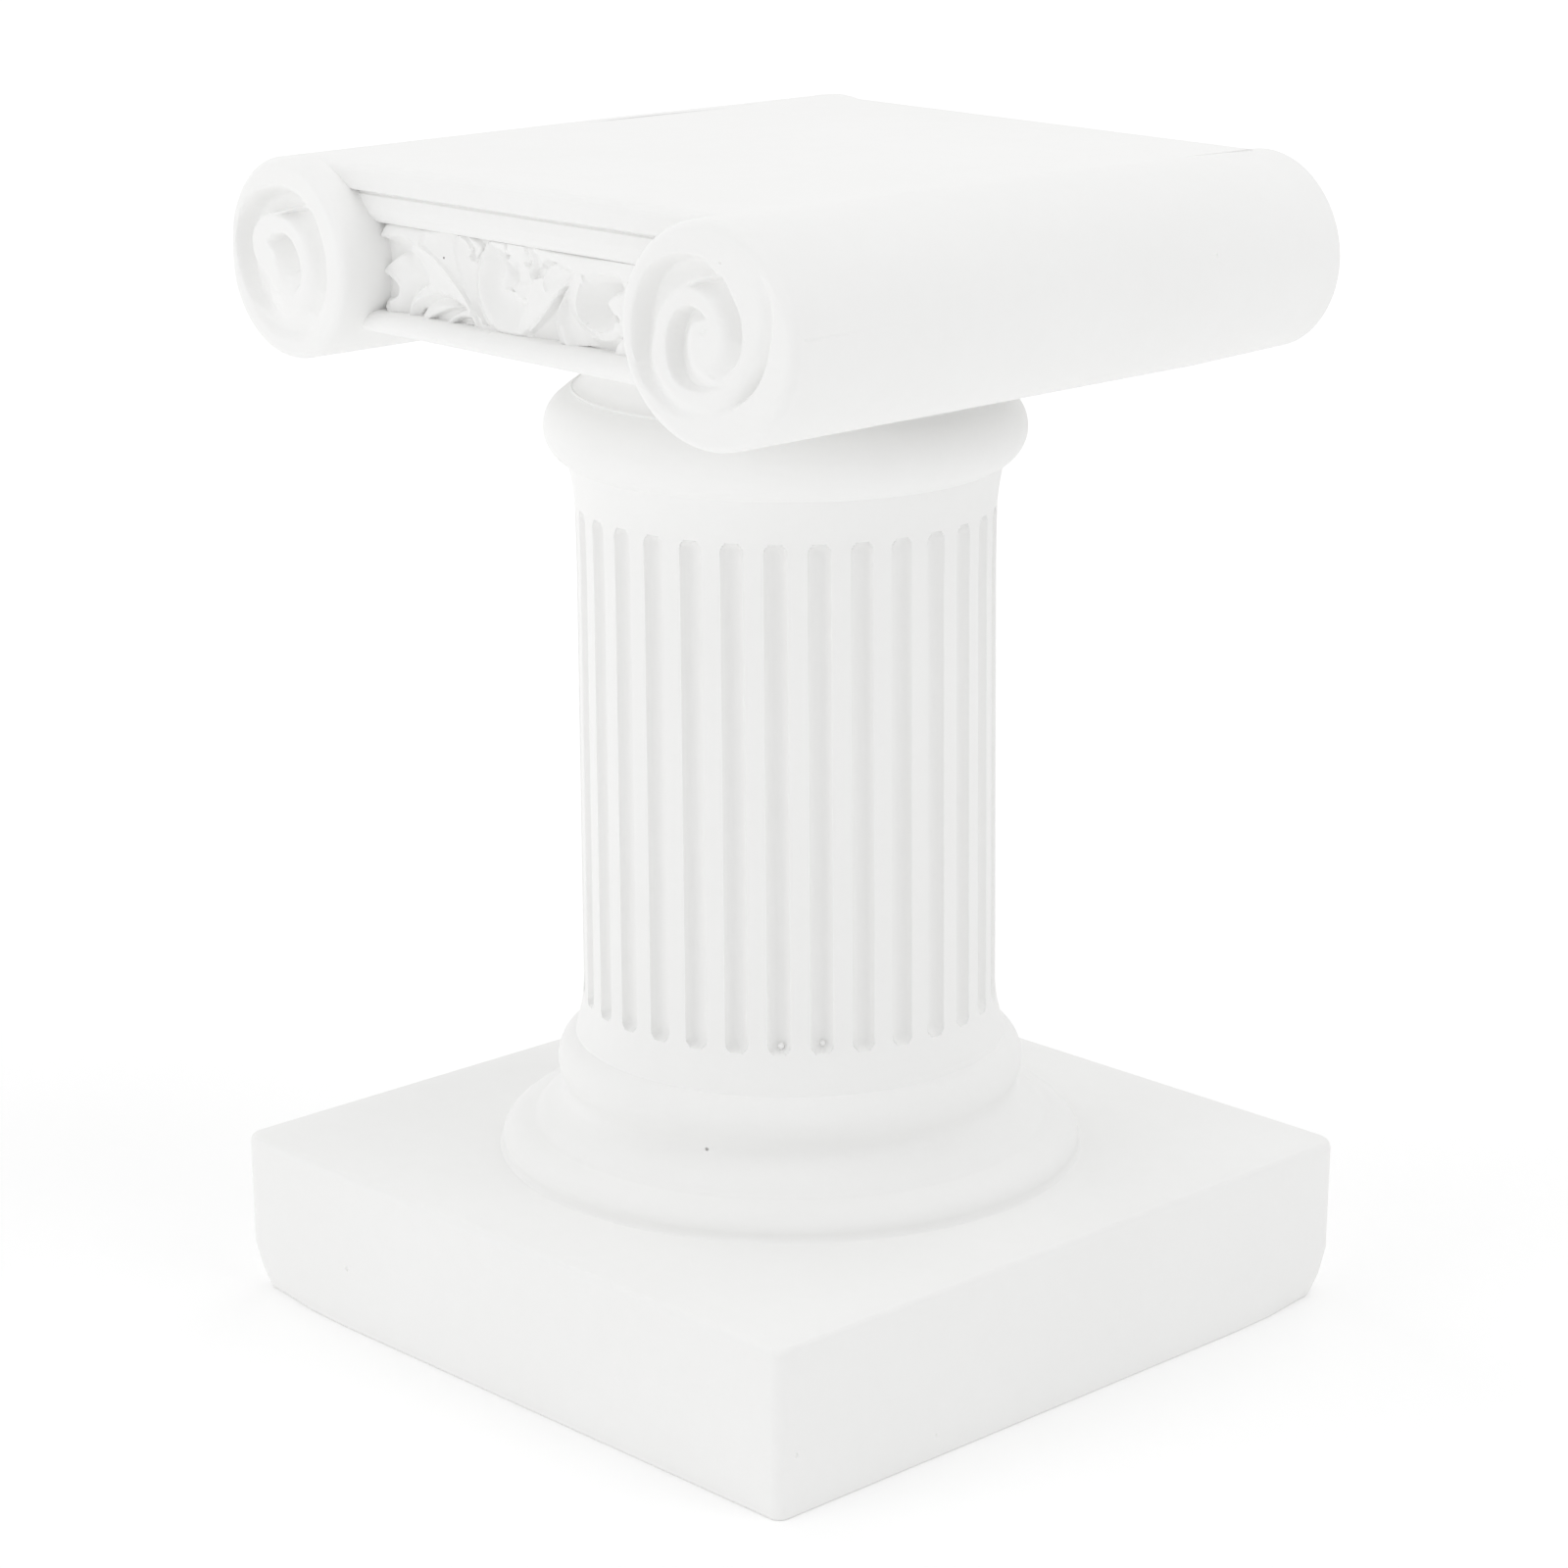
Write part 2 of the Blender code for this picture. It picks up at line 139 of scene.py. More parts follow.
def inside(outline: np.ndarray, places: np.ndarray) -> np.ndarray:
    """Which places lie inside a closed outline.

    Args:
        outline: Rows (across, up) of the outline's corners in order.
        places: Rows (across, up).

    Returns:
        True for each place inside.
    """
    crossings = np.zeros(len(places), int)
    for (x0, y0), (x1, y1) in zip(outline, np.roll(outline, -1, axis=0)):
        spans = (y0 > places[:, 1]) != (y1 > places[:, 1])
        slope = (x1 - x0) / (y1 - y0) if y1 != y0 else 0.0
        crossings += spans & (places[:, 0] < x0 + (places[:, 1] - y0) * slope)
    return crossings % 2 == 1


def ellipse(centre: Point, radii: Point, start: float, stop: float, count: int) -> list[Point]:
    """Points on an elliptical arc.

    Args:
        centre: Middle of the ellipse.
        radii: Its two radii.
        start: First angle in degrees.
        stop: Last angle in degrees.
        count: How many points to return.

    Returns:
        The points in order.
    """
    angles = [math.radians(start + (stop - start) * index / (count - 1)) for index in range(count)]
    return [(centre[0] + radii[0] * math.cos(a), centre[1] + radii[1] * math.sin(a)) for a in angles]


class Bench:
    """The modelling moves that every sub-assembly uses."""

    @staticmethod
    def start() -> None:
        """Leave edit mode and select nothing."""
        if bpy.context.mode != "OBJECT":
            bpy.ops.object.mode_set(mode="OBJECT")
        bpy.ops.object.select_all(action="DESELECT")

    @staticmethod
    def take(piece: bpy.types.Object) -> None:
        """Select one piece alone and make it the active one.

        Args:
            piece: The piece to take.
        """
        Bench.start()
        piece.select_set(True)
        bpy.context.view_layer.objects.active = piece

    @staticmethod
    def edit(piece: bpy.types.Object) -> None:
        """Open a piece in edit mode with all of it selected.

        Args:
            piece: The piece to open.
        """
        Bench.take(piece)
        bpy.ops.object.mode_set(mode="EDIT")
        bpy.ops.mesh.select_mode(type="VERT")
        bpy.ops.mesh.select_all(action="SELECT")

    @staticmethod
    def place(piece: bpy.types.Object) -> None:
        """Put a piece's place, turn and size into its mesh."""
        Bench.take(piece)
        bpy.ops.object.transform_apply(location=True, rotation=True, scale=True)

    @staticmethod
    def close(piece: bpy.types.Object) -> None:
        """Merge doubles, point faces outwards and leave edit mode.

        Args:
            piece: The piece to close.
        """
        Bench.edit(piece)
        bpy.ops.mesh.remove_doubles(threshold=MERGE)
        bpy.ops.mesh.normals_make_consistent(inside=False)
        bpy.ops.object.mode_set(mode="OBJECT")

    @staticmethod
    def choose(piece: bpy.types.Object, test: Callable[[Vector], bool]) -> None:
        """Select the vertices that pass a test of their place, and open the piece in edit mode.

        Args:
            piece: The piece to select on.
            test: Says of a place in metres whether its vertex is wanted.
        """
        Bench.edit(piece)
        bpy.ops.mesh.select_all(action="DESELECT")
        bpy.ops.object.mode_set(mode="OBJECT")
        for vertex in piece.data.vertices:
            vertex.select = test(vertex.co)
        bpy.ops.object.mode_set(mode="EDIT")

    @staticmethod
    def line(name: str, points: Sequence[Vector]) -> bpy.types.Object:
        """Draw an open line by pulling one vertex from point to point.

        Args:
            name: Name of the new object.
            points: Places in metres.

        Returns:
            An object whose mesh is that line.
        """
        Bench.start()
        bpy.ops.mesh.primitive_plane_add(size=MM, location=points[0])
        piece = bpy.context.active_object
        piece.name = name
        Bench.edit(piece)
        bpy.ops.mesh.merge(type="CENTER")
        for before, after in zip(points, points[1:]):
            bpy.ops.mesh.extrude_vertices_move(TRANSFORM_OT_translate={"value": after - before})
        Bench.place(piece)
        return piece

    @staticmethod
    def turned(name: str, profile: Sequence[Point], steps: int) -> bpy.types.Object:
        """Turn a half section round the upright axis.

        Args:
            name: Name of the new object.
            profile: Points (radius, height) in millimetres, both ends on the axis.
            steps: Number of columns round the axis.

        Returns:
            A closed turned piece.
        """
        piece = Bench.line(name, [Vector((radius * MM, 0, height * MM)) for radius, height in profile])
        Bench.edit(piece)
        bpy.ops.mesh.spin(steps=steps, angle=math.tau, center=(0, 0, 0), axis=(0, 0, 1))
        Bench.close(piece)
        return piece

    @staticmethod
    def unite(base: bpy.types.Object, tool: bpy.types.Object, fit: Fit = Fit.JOIN) -> None:
        """Join or cut with a Boolean modifier that is applied at once.

        Args:
            base: The piece that is changed.
            tool: The piece that is used up.
            fit: Whether the tool is joined on or cut out.
        """
        Bench.take(base)
        step = base.modifiers.new("Join", "BOOLEAN")
        step.operation = fit.value
        step.solver = "EXACT"
        step.object = tool
        bpy.ops.object.modifier_apply(modifier=step.name)
        bpy.data.objects.remove(tool, do_unlink=True)

    @staticmethod
    def coordinates(piece: bpy.types.Object) -> np.ndarray:
        """The places of a piece's vertices.

        Args:
            piece: The piece to measure.

        Returns:
            Rows (x, y, z) in the piece's own units.
        """
        flat = np.empty(len(piece.data.vertices) * 3)
        piece.data.vertices.foreach_get("co", flat)
        return flat.reshape(-1, 3)

    @staticmethod
    def move(piece: bpy.types.Object, places: np.ndarray) -> None:
        """Give a piece's vertices new places."""
        piece.data.vertices.foreach_set("co", places.astype(float).ravel())
        piece.data.update()


@dataclass(frozen=True)
class Band:
    """A carved band between two edge lines, raised over its ground or sunk into it.

    The section gives heights from the first edge to the second, and along gives the share of
    them from one end to the other. Each wall is the width over which an edge falls off.
    """

    first: Line
    second: Line
    section: Row
    along: Row = (1.0, 1.0)
    walls: Point = (0.3, 0.3)
    stations: int = 60

    def heights(self, places: np.ndarray, foot: float) -> np.ndarray:
        """Height of the band's surface over its ground, below 0 where it is sunk.

        Args:
            places: Rows (across, up) in millimetres.
            foot: Height that the edges of a raised band fall to.

        Returns:
            One height for each place; 0 outside the band.
        """
        first = smooth_line(self.first, self.stations)
        second = smooth_line(self.second, self.stations)
        outline = np.concatenate([first, second[::-1]])
        total = np.zeros(len(places))
        near = ((places > outline.min(0)) & (places < outline.max(0))).all(1)
        near[near] = inside(outline, places[near])
        wanted = places[near]
        to_first, along_first = nearest_on(first, wanted)
        to_second, along_second = nearest_on(second, wanted)
        share = to_first / np.maximum(to_first + to_second, 1e-9)
        station = along_first * (1 - share) + along_second * share
        surface = np.interp(share, np.linspace(0, 1, len(self.section)), self.section)
        surface *= np.interp(station, np.linspace(0, 1, len(self.along)), self.along)
        raised = min(self.section) >= 0
        level = foot if raised else 0.0
        edges = [(to_first, self.walls[0]), (to_second, self.walls[1])]
        if raised:
            ends = [nearest_on(np.array([first[end], second[end]]), wanted)[0] for end in (0, -1)]
            edges += [(to_end, self.walls[1]) for to_end in ends]
        for distance, wall in edges:
            if wall:
                surface = level + (surface - level) * eased(distance / wall)
        total[near] = surface
        return total


def flush_band(first: Line, second: Line, section: Row) -> Band:
    """A band whose edges run on into its neighbours without a wall."""
    return Band(first, second, section, walls=(0.0, 0.0))


@dataclass(frozen=True)
class Ridge:
    """A thin rounded line that stands a little over the bands beside it."""

    points: Line
    height: float = 2.32
    width: float = 0.5
    drop: float = 0.5
    end_share: float = 0.12
    end_drop: float = 0.4
    steps: int = 6

    def heights(self, places: np.ndarray, foot: float) -> np.ndarray:
        """Height of the ridge over the ground.

        Args:
            places: Rows (across, up) in millimetres.
            foot: Height that no part of the ridge falls under.

        Returns:
            One height for each place; 0 beside the ridge.
        """
        line = smooth_line(self.points, self.steps * len(self.points))
        half = self.width / 2
        total = np.zeros(len(places))
        near = ((places > line.min(0) - half) & (places < line.max(0) + half)).all(1)
        distance, along = nearest_on(line, places[near])
        share = distance / half
        fade = eased(along / self.end_share) * eased((1 - along) / self.end_share)
        surface = self.height - self.drop * share**2 - (1 - fade) * self.end_drop
        total[near] = np.where(share < 1, np.maximum(surface, foot), 0)
        return total


@dataclass(frozen=True)
class Carving:
    """Raised and sunk bands on one ground.

    Raised bands are stretched away from one level by a strength, sunk ones deepened by a depth,
    and edges are softened by averaging over a small circle whose radius is the softness.
    """

    bands: tuple[Band | Ridge, ...]
    ground: float = 0.0
    foot: float = 0.0
    softness: float = 0.0
    depth: float = 1.0
    level: float = 0.0
    strength: float = 1.0
    around: int = 6
    own_share: float = 0.25

    def heights(self, places: np.ndarray) -> np.ndarray:
        """Height of the carving over its ground, its edges softened.

        Args:
            places: Rows (across, up) in millimetres.

        Returns:
            One height in millimetres for each place.
        """
        if not self.softness:
            return self.crisp(places)
        turns = np.linspace(0, math.tau, self.around + 1)[:-1]
        ring = [(math.cos(turn), math.sin(turn)) for turn in turns]
        beside = [self.crisp(places + np.array(step) * self.softness) for step in ring]
        return self.own_share * self.crisp(places) + (1 - self.own_share) * np.mean(beside, axis=0)

    def crisp(self, places: np.ndarray) -> np.ndarray:
        """Height of the carving as its bands give it.

        Args:
            places: Rows (across, up) in millimetres.

        Returns:
            One height in millimetres for each place.
        """
        layers = np.array([band.heights(places, self.foot) for band in self.bands])
        raised = np.maximum(layers.max(0), self.ground)
        sunk = np.minimum(layers, 0).sum(0)
        return self.level + self.strength * (raised - self.level) + self.depth * sunk


# Volutes, in millimetres from the middle of the roll's end: outwards from the column, and up
RIGHT_VOLUTE = Carving((
    Band(
        ((1.6, -6.9), (-1.5, -7.8), (-4.3, -7.3), (-6.6, -5.9), (-8.1, -4.4), (-8.8, -2.4),
         (-8.85, 0.0), (-8.6, 2.0), (-7.8, 4.1), (-6.2, 6.0), (-4.3, 7.0), (-2.4, 7.35), (-0.6, 7.2),
         (0.9, 6.4), (2.1, 5.6)),
        ((1.6, -5.9), (-0.8, -6.3), (-3.0, -5.9), (-4.7, -5.0), (-5.8, -3.9), (-6.3, -2.6),
         (-6.25, -1.2), (-5.9, 0.1), (-5.5, 1.5), (-4.6, 2.8), (-3.6, 3.55), (-2.6, 4.15), (-1.2, 4.95),
         (0.4, 5.42), (2.0, 5.55)),
        (-1.2, -1.35, -1.28, -1.0, -0.55, 0.0),
        (0.0, 0.12, 0.2, 0.4, 0.65, 0.85, 1.0, 1.0, 1.0, 1.0, 0.95, 0.85, 0.7, 0.6, 0.5), (0.8, 0.0)),
    Band(
        ((-2.75, 4.12), (-1.2, 4.93), (0.4, 5.42), (2.0, 5.6), (3.3, 3.85), (4.15, 2.2), (4.35, 0.5),
         (4.1, -1.15), (3.2, -2.6), (1.6, -3.8)),
        ((-2.7, 4.05), (-1.6, 4.15), (-0.4, 3.9), (0.6, 3.25), (1.4, 2.3), (1.95, 1.1), (2.0, 0.0),
         (1.5, -1.1), (0.6, -2.1), (-0.6, -2.8)),
        (-1.2, -1.25, -1.1, -0.7, -0.25, 0.0),
        (0.0, 0.5, 0.75, 0.8, 0.95, 1.0, 0.95, 0.7, 0.3, 0.0), (0.5, 0.0)),
    Band(
        ((3.4, -3.6), (1.8, -4.5), (-0.2, -5.0), (-2.0, -5.0), (-3.6, -4.35), (-4.5, -2.9),
         (-4.72, -1.0), (-4.45, 0.5), (-3.6, 1.9), (-2.3, 2.65), (-1.1, 2.55), (-0.2, 2.1), (0.3, 1.6)),
        ((2.8, -3.1), (1.6, -3.5), (0.5, -3.6), (-0.5, -3.3), (-1.2, -2.8), (-1.7, -2.0), (-1.95, -1.1),
         (-1.9, -0.2), (-1.6, 0.6), (-1.2, 1.1), (-0.7, 1.3), (-0.2, 1.45), (0.25, 1.55)),
        (-1.25, -1.35, -1.2, -0.8, -0.3, 0.0),
        (0.0, 0.15, 0.3, 0.45, 0.7, 0.9, 1.0, 1.0, 0.95, 0.85, 0.7, 0.5, 0.3), (0.55, 0.0)),
    Band(
        ((6.4, 6.9), (7.75, 4.6), (7.98, 2.2), (7.6, 0.0), (6.9, -2.2), (5.8, -4.0), (4.4, -5.3),
         (2.8, -6.3), (1.0, -7.0)),
        ((5.2, 6.2), (6.2, 4.0), (6.3, 1.9), (5.9, -0.1), (5.1, -2.0), (4.1, -3.4), (3.1, -4.5),
         (2.0, -5.3), (0.6, -5.9)),
        (-1.0, -1.0, -0.75, -0.4, -0.15, 0.0),
        (0.0, 0.25, 0.4, 0.55, 0.85, 1.1, 0.85, 0.35, 0.0), (0.5, 0.0)),
    Band(
        ((-1.0, 0.1), (-0.6, 0.42), (-0.1, 0.6), (0.45, 0.95)),
        ((-0.95, 0.02), (-0.5, 0.2), (0.0, 0.38), (0.5, 0.8)),
        (-0.14, -0.14), (0.3, 1.0, 1.0, 0.4), (0.08, 0.08)),
), softness=0.1, depth=1.35)

LEFT_VOLUTE = Carving((
    Band(
        ((8.0, -3.6), (6.0, -6.2), (3.2, -7.8), (0.0, -8.3), (-3.2, -7.8), (-6.0, -6.0), (-7.6, -3.4)),
        ((5.2, -2.2), (3.6, -3.8), (1.8, -4.7), (-0.4, -5.0), (-2.4, -4.7), (-3.8, -3.6), (-4.6, -2.2)),
        (-0.12, -0.3, -0.36, -0.3, -0.12), (0.0, 0.6, 1.0, 1.0, 1.0, 0.6, 0.0), (0.9, 0.6)),
    Band(
        ((-4.6, 6.2), (-2.9, 7.2), (-0.4, 7.75), (2.2, 7.5), (4.8, 6.7), (7.0, 5.3), (8.5, 3.4),
         (9.0, 1.2), (8.6, -1.4), (7.4, -3.8), (5.4, -5.5), (2.8, -6.2), (0.2, -5.9)),
        ((-4.6, 6.05), (-3.0, 5.75), (-1.2, 5.4), (0.7, 4.95), (2.4, 4.6), (3.8, 4.15), (5.1, 3.1),
         (5.75, 1.8), (5.6, 0.4), (4.8, -0.8), (3.6, -1.8), (2.0, -3.0), (0.2, -4.3)),
        (-1.1, -1.35, -1.35, -1.25, -1.15),
        (0.3, 0.55, 0.75, 0.9, 1.0, 1.0, 1.0, 1.0, 0.9, 0.75, 0.5, 0.2, 0.0), (1.1, 0.3)),
    Band(
        ((3.2, 4.4), (2.0, 4.66), (0.3, 5.05), (-1.4, 5.5), (-3.3, 5.9), (-5.2, 5.55), (-6.6, 3.4),
         (-7.3, 1.4), (-7.45, -0.8), (-6.8, -3.2), (-5.0, -5.0)),
        ((3.2, 4.3), (2.0, 4.5), (0.7, 4.5), (-0.6, 4.3), (-1.9, 3.7), (-3.1, 2.7), (-3.8, 1.6),
         (-4.15, 0.3), (-4.1, -1.0), (-3.6, -2.6), (-2.6, -3.9)),
        (-1.1, -1.1, -0.9, -0.6, -0.2, 0.0),
        (0.0, 0.3, 0.6, 0.8, 0.9, 1.0, 1.0, 1.0, 0.9, 0.5, 0.0), (0.35, 0.0)),
    Band(
        ((2.9, 2.0), (1.7, 2.75), (0.2, 2.95), (-1.2, 2.45), (-2.15, 1.5), (-2.8, 0.2), (-2.95, -1.1),
         (-2.4, -2.5), (-1.3, -3.7)),
        ((2.7, 1.3), (2.0, 0.9), (1.7, 0.4), (1.5, -0.1), (1.3, -0.7), (1.1, -1.3), (0.9, -1.9),
         (0.4, -2.6), (-0.4, -3.3)),
        (-1.4, -1.5, -1.2, -0.8, -0.3, 0.0), (0.2, 0.8, 1.1, 1.0, 0.8, 0.7, 0.5, 0.25, 0.0), (0.6, 0.0)),
), softness=0.1, depth=1.5)

# Frieze, in millimetres across from the capital's middle line and up from the underside of the
# plinth. First the big leaf at the left, with its turned-over tips
LEAF = (
    Band(
        ((-20.5, 112.75), (-19.6, 112.7), (-18.1, 112.95), (-16.9, 113.0), (-15.9, 112.85),
         (-14.9, 112.5), (-14.05, 112.25)),
        ((-20.45, 113.0), (-20.2, 113.6), (-19.7, 114.0), (-18.4, 114.25), (-16.8, 114.3),
         (-15.2, 114.3), (-13.95, 114.3)), (2.25, 2.15, 2.0, 1.85), walls=(0.0, 0.2)),
    flush_band(
        ((-20.4, 112.72), (-19.6, 112.68), (-18.1, 112.95), (-16.9, 113.0), (-15.9, 112.85),
         (-14.45, 112.35), (-13.0, 111.8), (-11.5, 111.05)),
        ((-20.5, 112.6), (-19.4, 112.0), (-18.4, 111.35), (-17.4, 111.25), (-16.4, 111.3),
         (-15.5, 111.25), (-14.3, 110.6), (-12.8, 110.0)), (2.26, 1.95, 1.66, 1.4, 1.2)),
    Band(
        ((-16.4, 112.95), (-15.9, 112.85), (-14.45, 112.35), (-13.0, 111.8), (-11.5, 111.05),
         (-10.3, 110.25), (-9.15, 109.3), (-8.0, 108.25), (-7.05, 107.2), (-6.25, 106.15), (-5.6, 105.2)),
        ((-15.7, 111.6), (-15.0, 111.15), (-14.3, 110.5), (-13.6, 109.6), (-13.35, 108.7),
         (-12.9, 107.95), (-11.6, 108.0), (-10.3, 107.95), (-9.0, 107.6), (-7.8, 106.9), (-6.4, 105.2)),
        (2.26, 2.04, 1.93, 1.96, 2.0, 1.96), walls=(0.0, 0.12)),
    Band(
        ((-17.5, 111.25), (-18.85, 110.5), (-19.95, 109.7), (-19.65, 109.3), (-18.8, 109.05),
         (-17.95, 108.6), (-17.45, 108.05), (-17.45, 107.45), (-17.85, 106.85), (-18.8, 106.35),
         (-20.1, 106.1), (-19.8, 105.3)),
        ((-15.7, 111.3), (-15.1, 111.1), (-14.7, 110.8), (-14.3, 110.45), (-13.9, 110.0),
         (-13.6, 109.5), (-13.45, 108.8), (-14.4, 108.25), (-15.2, 107.7), (-15.95, 106.8),
         (-16.25, 106.2), (-16.4, 105.2)), (2.08, 2.11, 1.93, 1.66, 1.43, 1.28), walls=(0.22, 0.0)),
    Band(
        ((-16.4, 105.2), (-15.95, 106.8), (-15.2, 107.7), (-14.4, 108.3), (-13.4, 108.85),
         (-12.6, 109.3)),
        ((-16.3, 105.2), (-15.7, 106.5), (-14.8, 107.2), (-13.45, 107.7), (-12.6, 107.9), (-11.9, 108.0)),
        (1.85, 1.93, 2.11), walls=(0.12, 0.0)),
    flush_band(
        ((-16.35, 105.2), (-15.7, 106.55), (-14.8, 107.2), (-13.45, 107.7), (-11.95, 108.05),
         (-10.6, 108.05), (-9.2, 107.75), (-8.0, 107.2)),
        ((-15.4, 105.2), (-14.9, 105.9), (-14.25, 106.35), (-13.0, 107.1), (-11.85, 107.5),
         (-11.0, 107.6), (-9.8, 107.5), (-8.3, 107.15)), (2.18, 1.96, 1.7, 1.52)),
    Band(
        ((-15.4, 105.2), (-14.25, 106.35), (-13.0, 107.1), (-11.85, 107.5), (-11.0, 107.6),
         (-9.8, 107.5), (-8.3, 107.15)),
        ((-13.4, 105.2), (-12.7, 105.6), (-12.0, 105.9), (-11.3, 106.2), (-10.5, 106.5), (-9.8, 106.75),
         (-8.25, 107.1)), (1.52, 1.77, 2.04, 2.11, 2.0), walls=(0.0, 0.15)),
    Band(
        ((-11.2, 105.2), (-10.5, 105.85), (-9.85, 106.25), (-8.9, 106.7), (-8.2, 106.95), (-7.3, 107.2)),
        ((-9.9, 105.2), (-9.2, 105.75), (-8.6, 106.0), (-8.0, 106.1), (-7.3, 106.15), (-6.7, 106.15)),
        (1.9, 2.11, 1.9), walls=(0.15, 0.12)),
    Band(
        ((-8.6, 105.65), (-7.9, 105.8), (-7.2, 105.8), (-6.2, 105.6)),
        ((-8.6, 105.2), (-7.9, 105.3), (-7.2, 105.35), (-6.2, 105.2)),
        (1.66, 1.74, 1.58), walls=(0.1, 0.1)),
    flush_band(
        ((-14.05, 112.25), (-13.0, 111.8), (-11.5, 111.05), (-10.3, 110.25), (-9.15, 109.3),
         (-8.0, 108.25), (-7.05, 107.2), (-6.25, 106.1), (-5.6, 105.2)),
        ((-13.9, 114.0), (-12.8, 114.1), (-11.5, 114.3), (-9.6, 114.3), (-9.2, 112.4), (-8.6, 110.4),
         (-7.6, 108.65), (-6.6, 107.2), (-5.5, 105.4)), (2.08, 1.97, 1.86, 1.75, 1.65, 1.55)),
    flush_band(
        ((-14.1, 114.3), (-14.1, 113.6), (-14.1, 112.9), (-14.05, 112.2)),
        ((-10.6, 114.3), (-10.7, 113.4), (-10.8, 112.4), (-11.2, 111.2)), (2.03, 1.9, 1.76, 1.6)),
    Band(
        ((-8.4, 108.65), (-7.5, 107.75), (-6.7, 106.7), (-6.1, 105.95), (-5.5, 105.2)),
        ((-7.6, 108.8), (-6.8, 107.9), (-6.1, 106.8), (-5.6, 106.0), (-5.1, 105.2)),
        (1.0, 1.0), (1.5, 1.75, 1.95, 2.0), (0.0, 0.0)),
    flush_band(
        ((-14.2, 105.2), (-12.8, 106.0), (-11.4, 106.6), (-9.8, 107.0), (-7.6, 107.2)),
        ((-6.3, 105.2), (-6.4, 105.5), (-6.5, 105.8), (-6.6, 106.1), (-6.9, 106.6)), (1.6, 1.45, 1.45)),
)

# Pointed bud beside the leaf, with the small curl over it
BUD = (
    flush_band(
        ((-8.7, 114.2), (-7.9, 113.2), (-7.3, 112.3), (-6.6, 111.4), (-6.2, 110.6)),
        ((-4.2, 114.2), (-4.8, 113.2), (-5.1, 112.3), (-5.5, 111.4), (-5.7, 110.6)),
        (1.75, 1.75, 1.7, 1.6)),
    Band(
        ((-5.4, 105.2), (-6.25, 106.7), (-6.9, 107.75), (-7.6, 108.6), (-8.15, 109.4), (-8.6, 110.35),
         (-9.05, 111.5), (-9.25, 112.4), (-9.2, 113.15), (-9.0, 113.85), (-8.5, 114.3)),
        ((-4.6, 105.2), (-5.1, 106.3), (-5.45, 107.1), (-5.7, 107.8), (-5.85, 108.6), (-5.9, 109.4),
         (-5.85, 110.4), (-5.7, 111.3), (-5.9, 112.0), (-6.6, 113.0), (-7.2, 114.2)),
        (2.08, 1.98, 1.87, 1.76, 1.65, 1.54, 1.43, 1.32), walls=(0.12, 0.0)),
    Band(
        ((-8.6, 114.25), (-8.0, 114.05), (-7.4, 113.45), (-6.95, 112.9), (-6.6, 112.2), (-6.3, 111.8)),
        ((-8.8, 113.8), (-8.2, 113.65), (-7.8, 113.2), (-7.3, 112.7), (-6.95, 112.1), (-6.7, 111.7)),
        (1.9, 2.0, 1.7), walls=(0.1, 0.15)),
    Band(
        ((-7.3, 114.25), (-6.5, 113.95), (-5.6, 113.6), (-5.1, 113.1), (-5.4, 112.45), (-5.85, 111.95)),
        ((-7.35, 113.6), (-7.0, 113.2), (-6.75, 112.8), (-6.55, 112.5), (-6.4, 112.2), (-6.3, 111.9)),
        (1.96, 2.11, 1.9, 1.58), walls=(0.15, 0.12)),
    Band(
        ((-7.4, 112.15), (-7.1, 111.65), (-6.5, 111.45), (-5.6, 111.55)),
        ((-7.1, 112.5), (-6.8, 112.05), (-6.4, 111.85), (-5.6, 111.95)),
        (1.96, 2.11, 1.9), walls=(0.12, 0.12)),
)

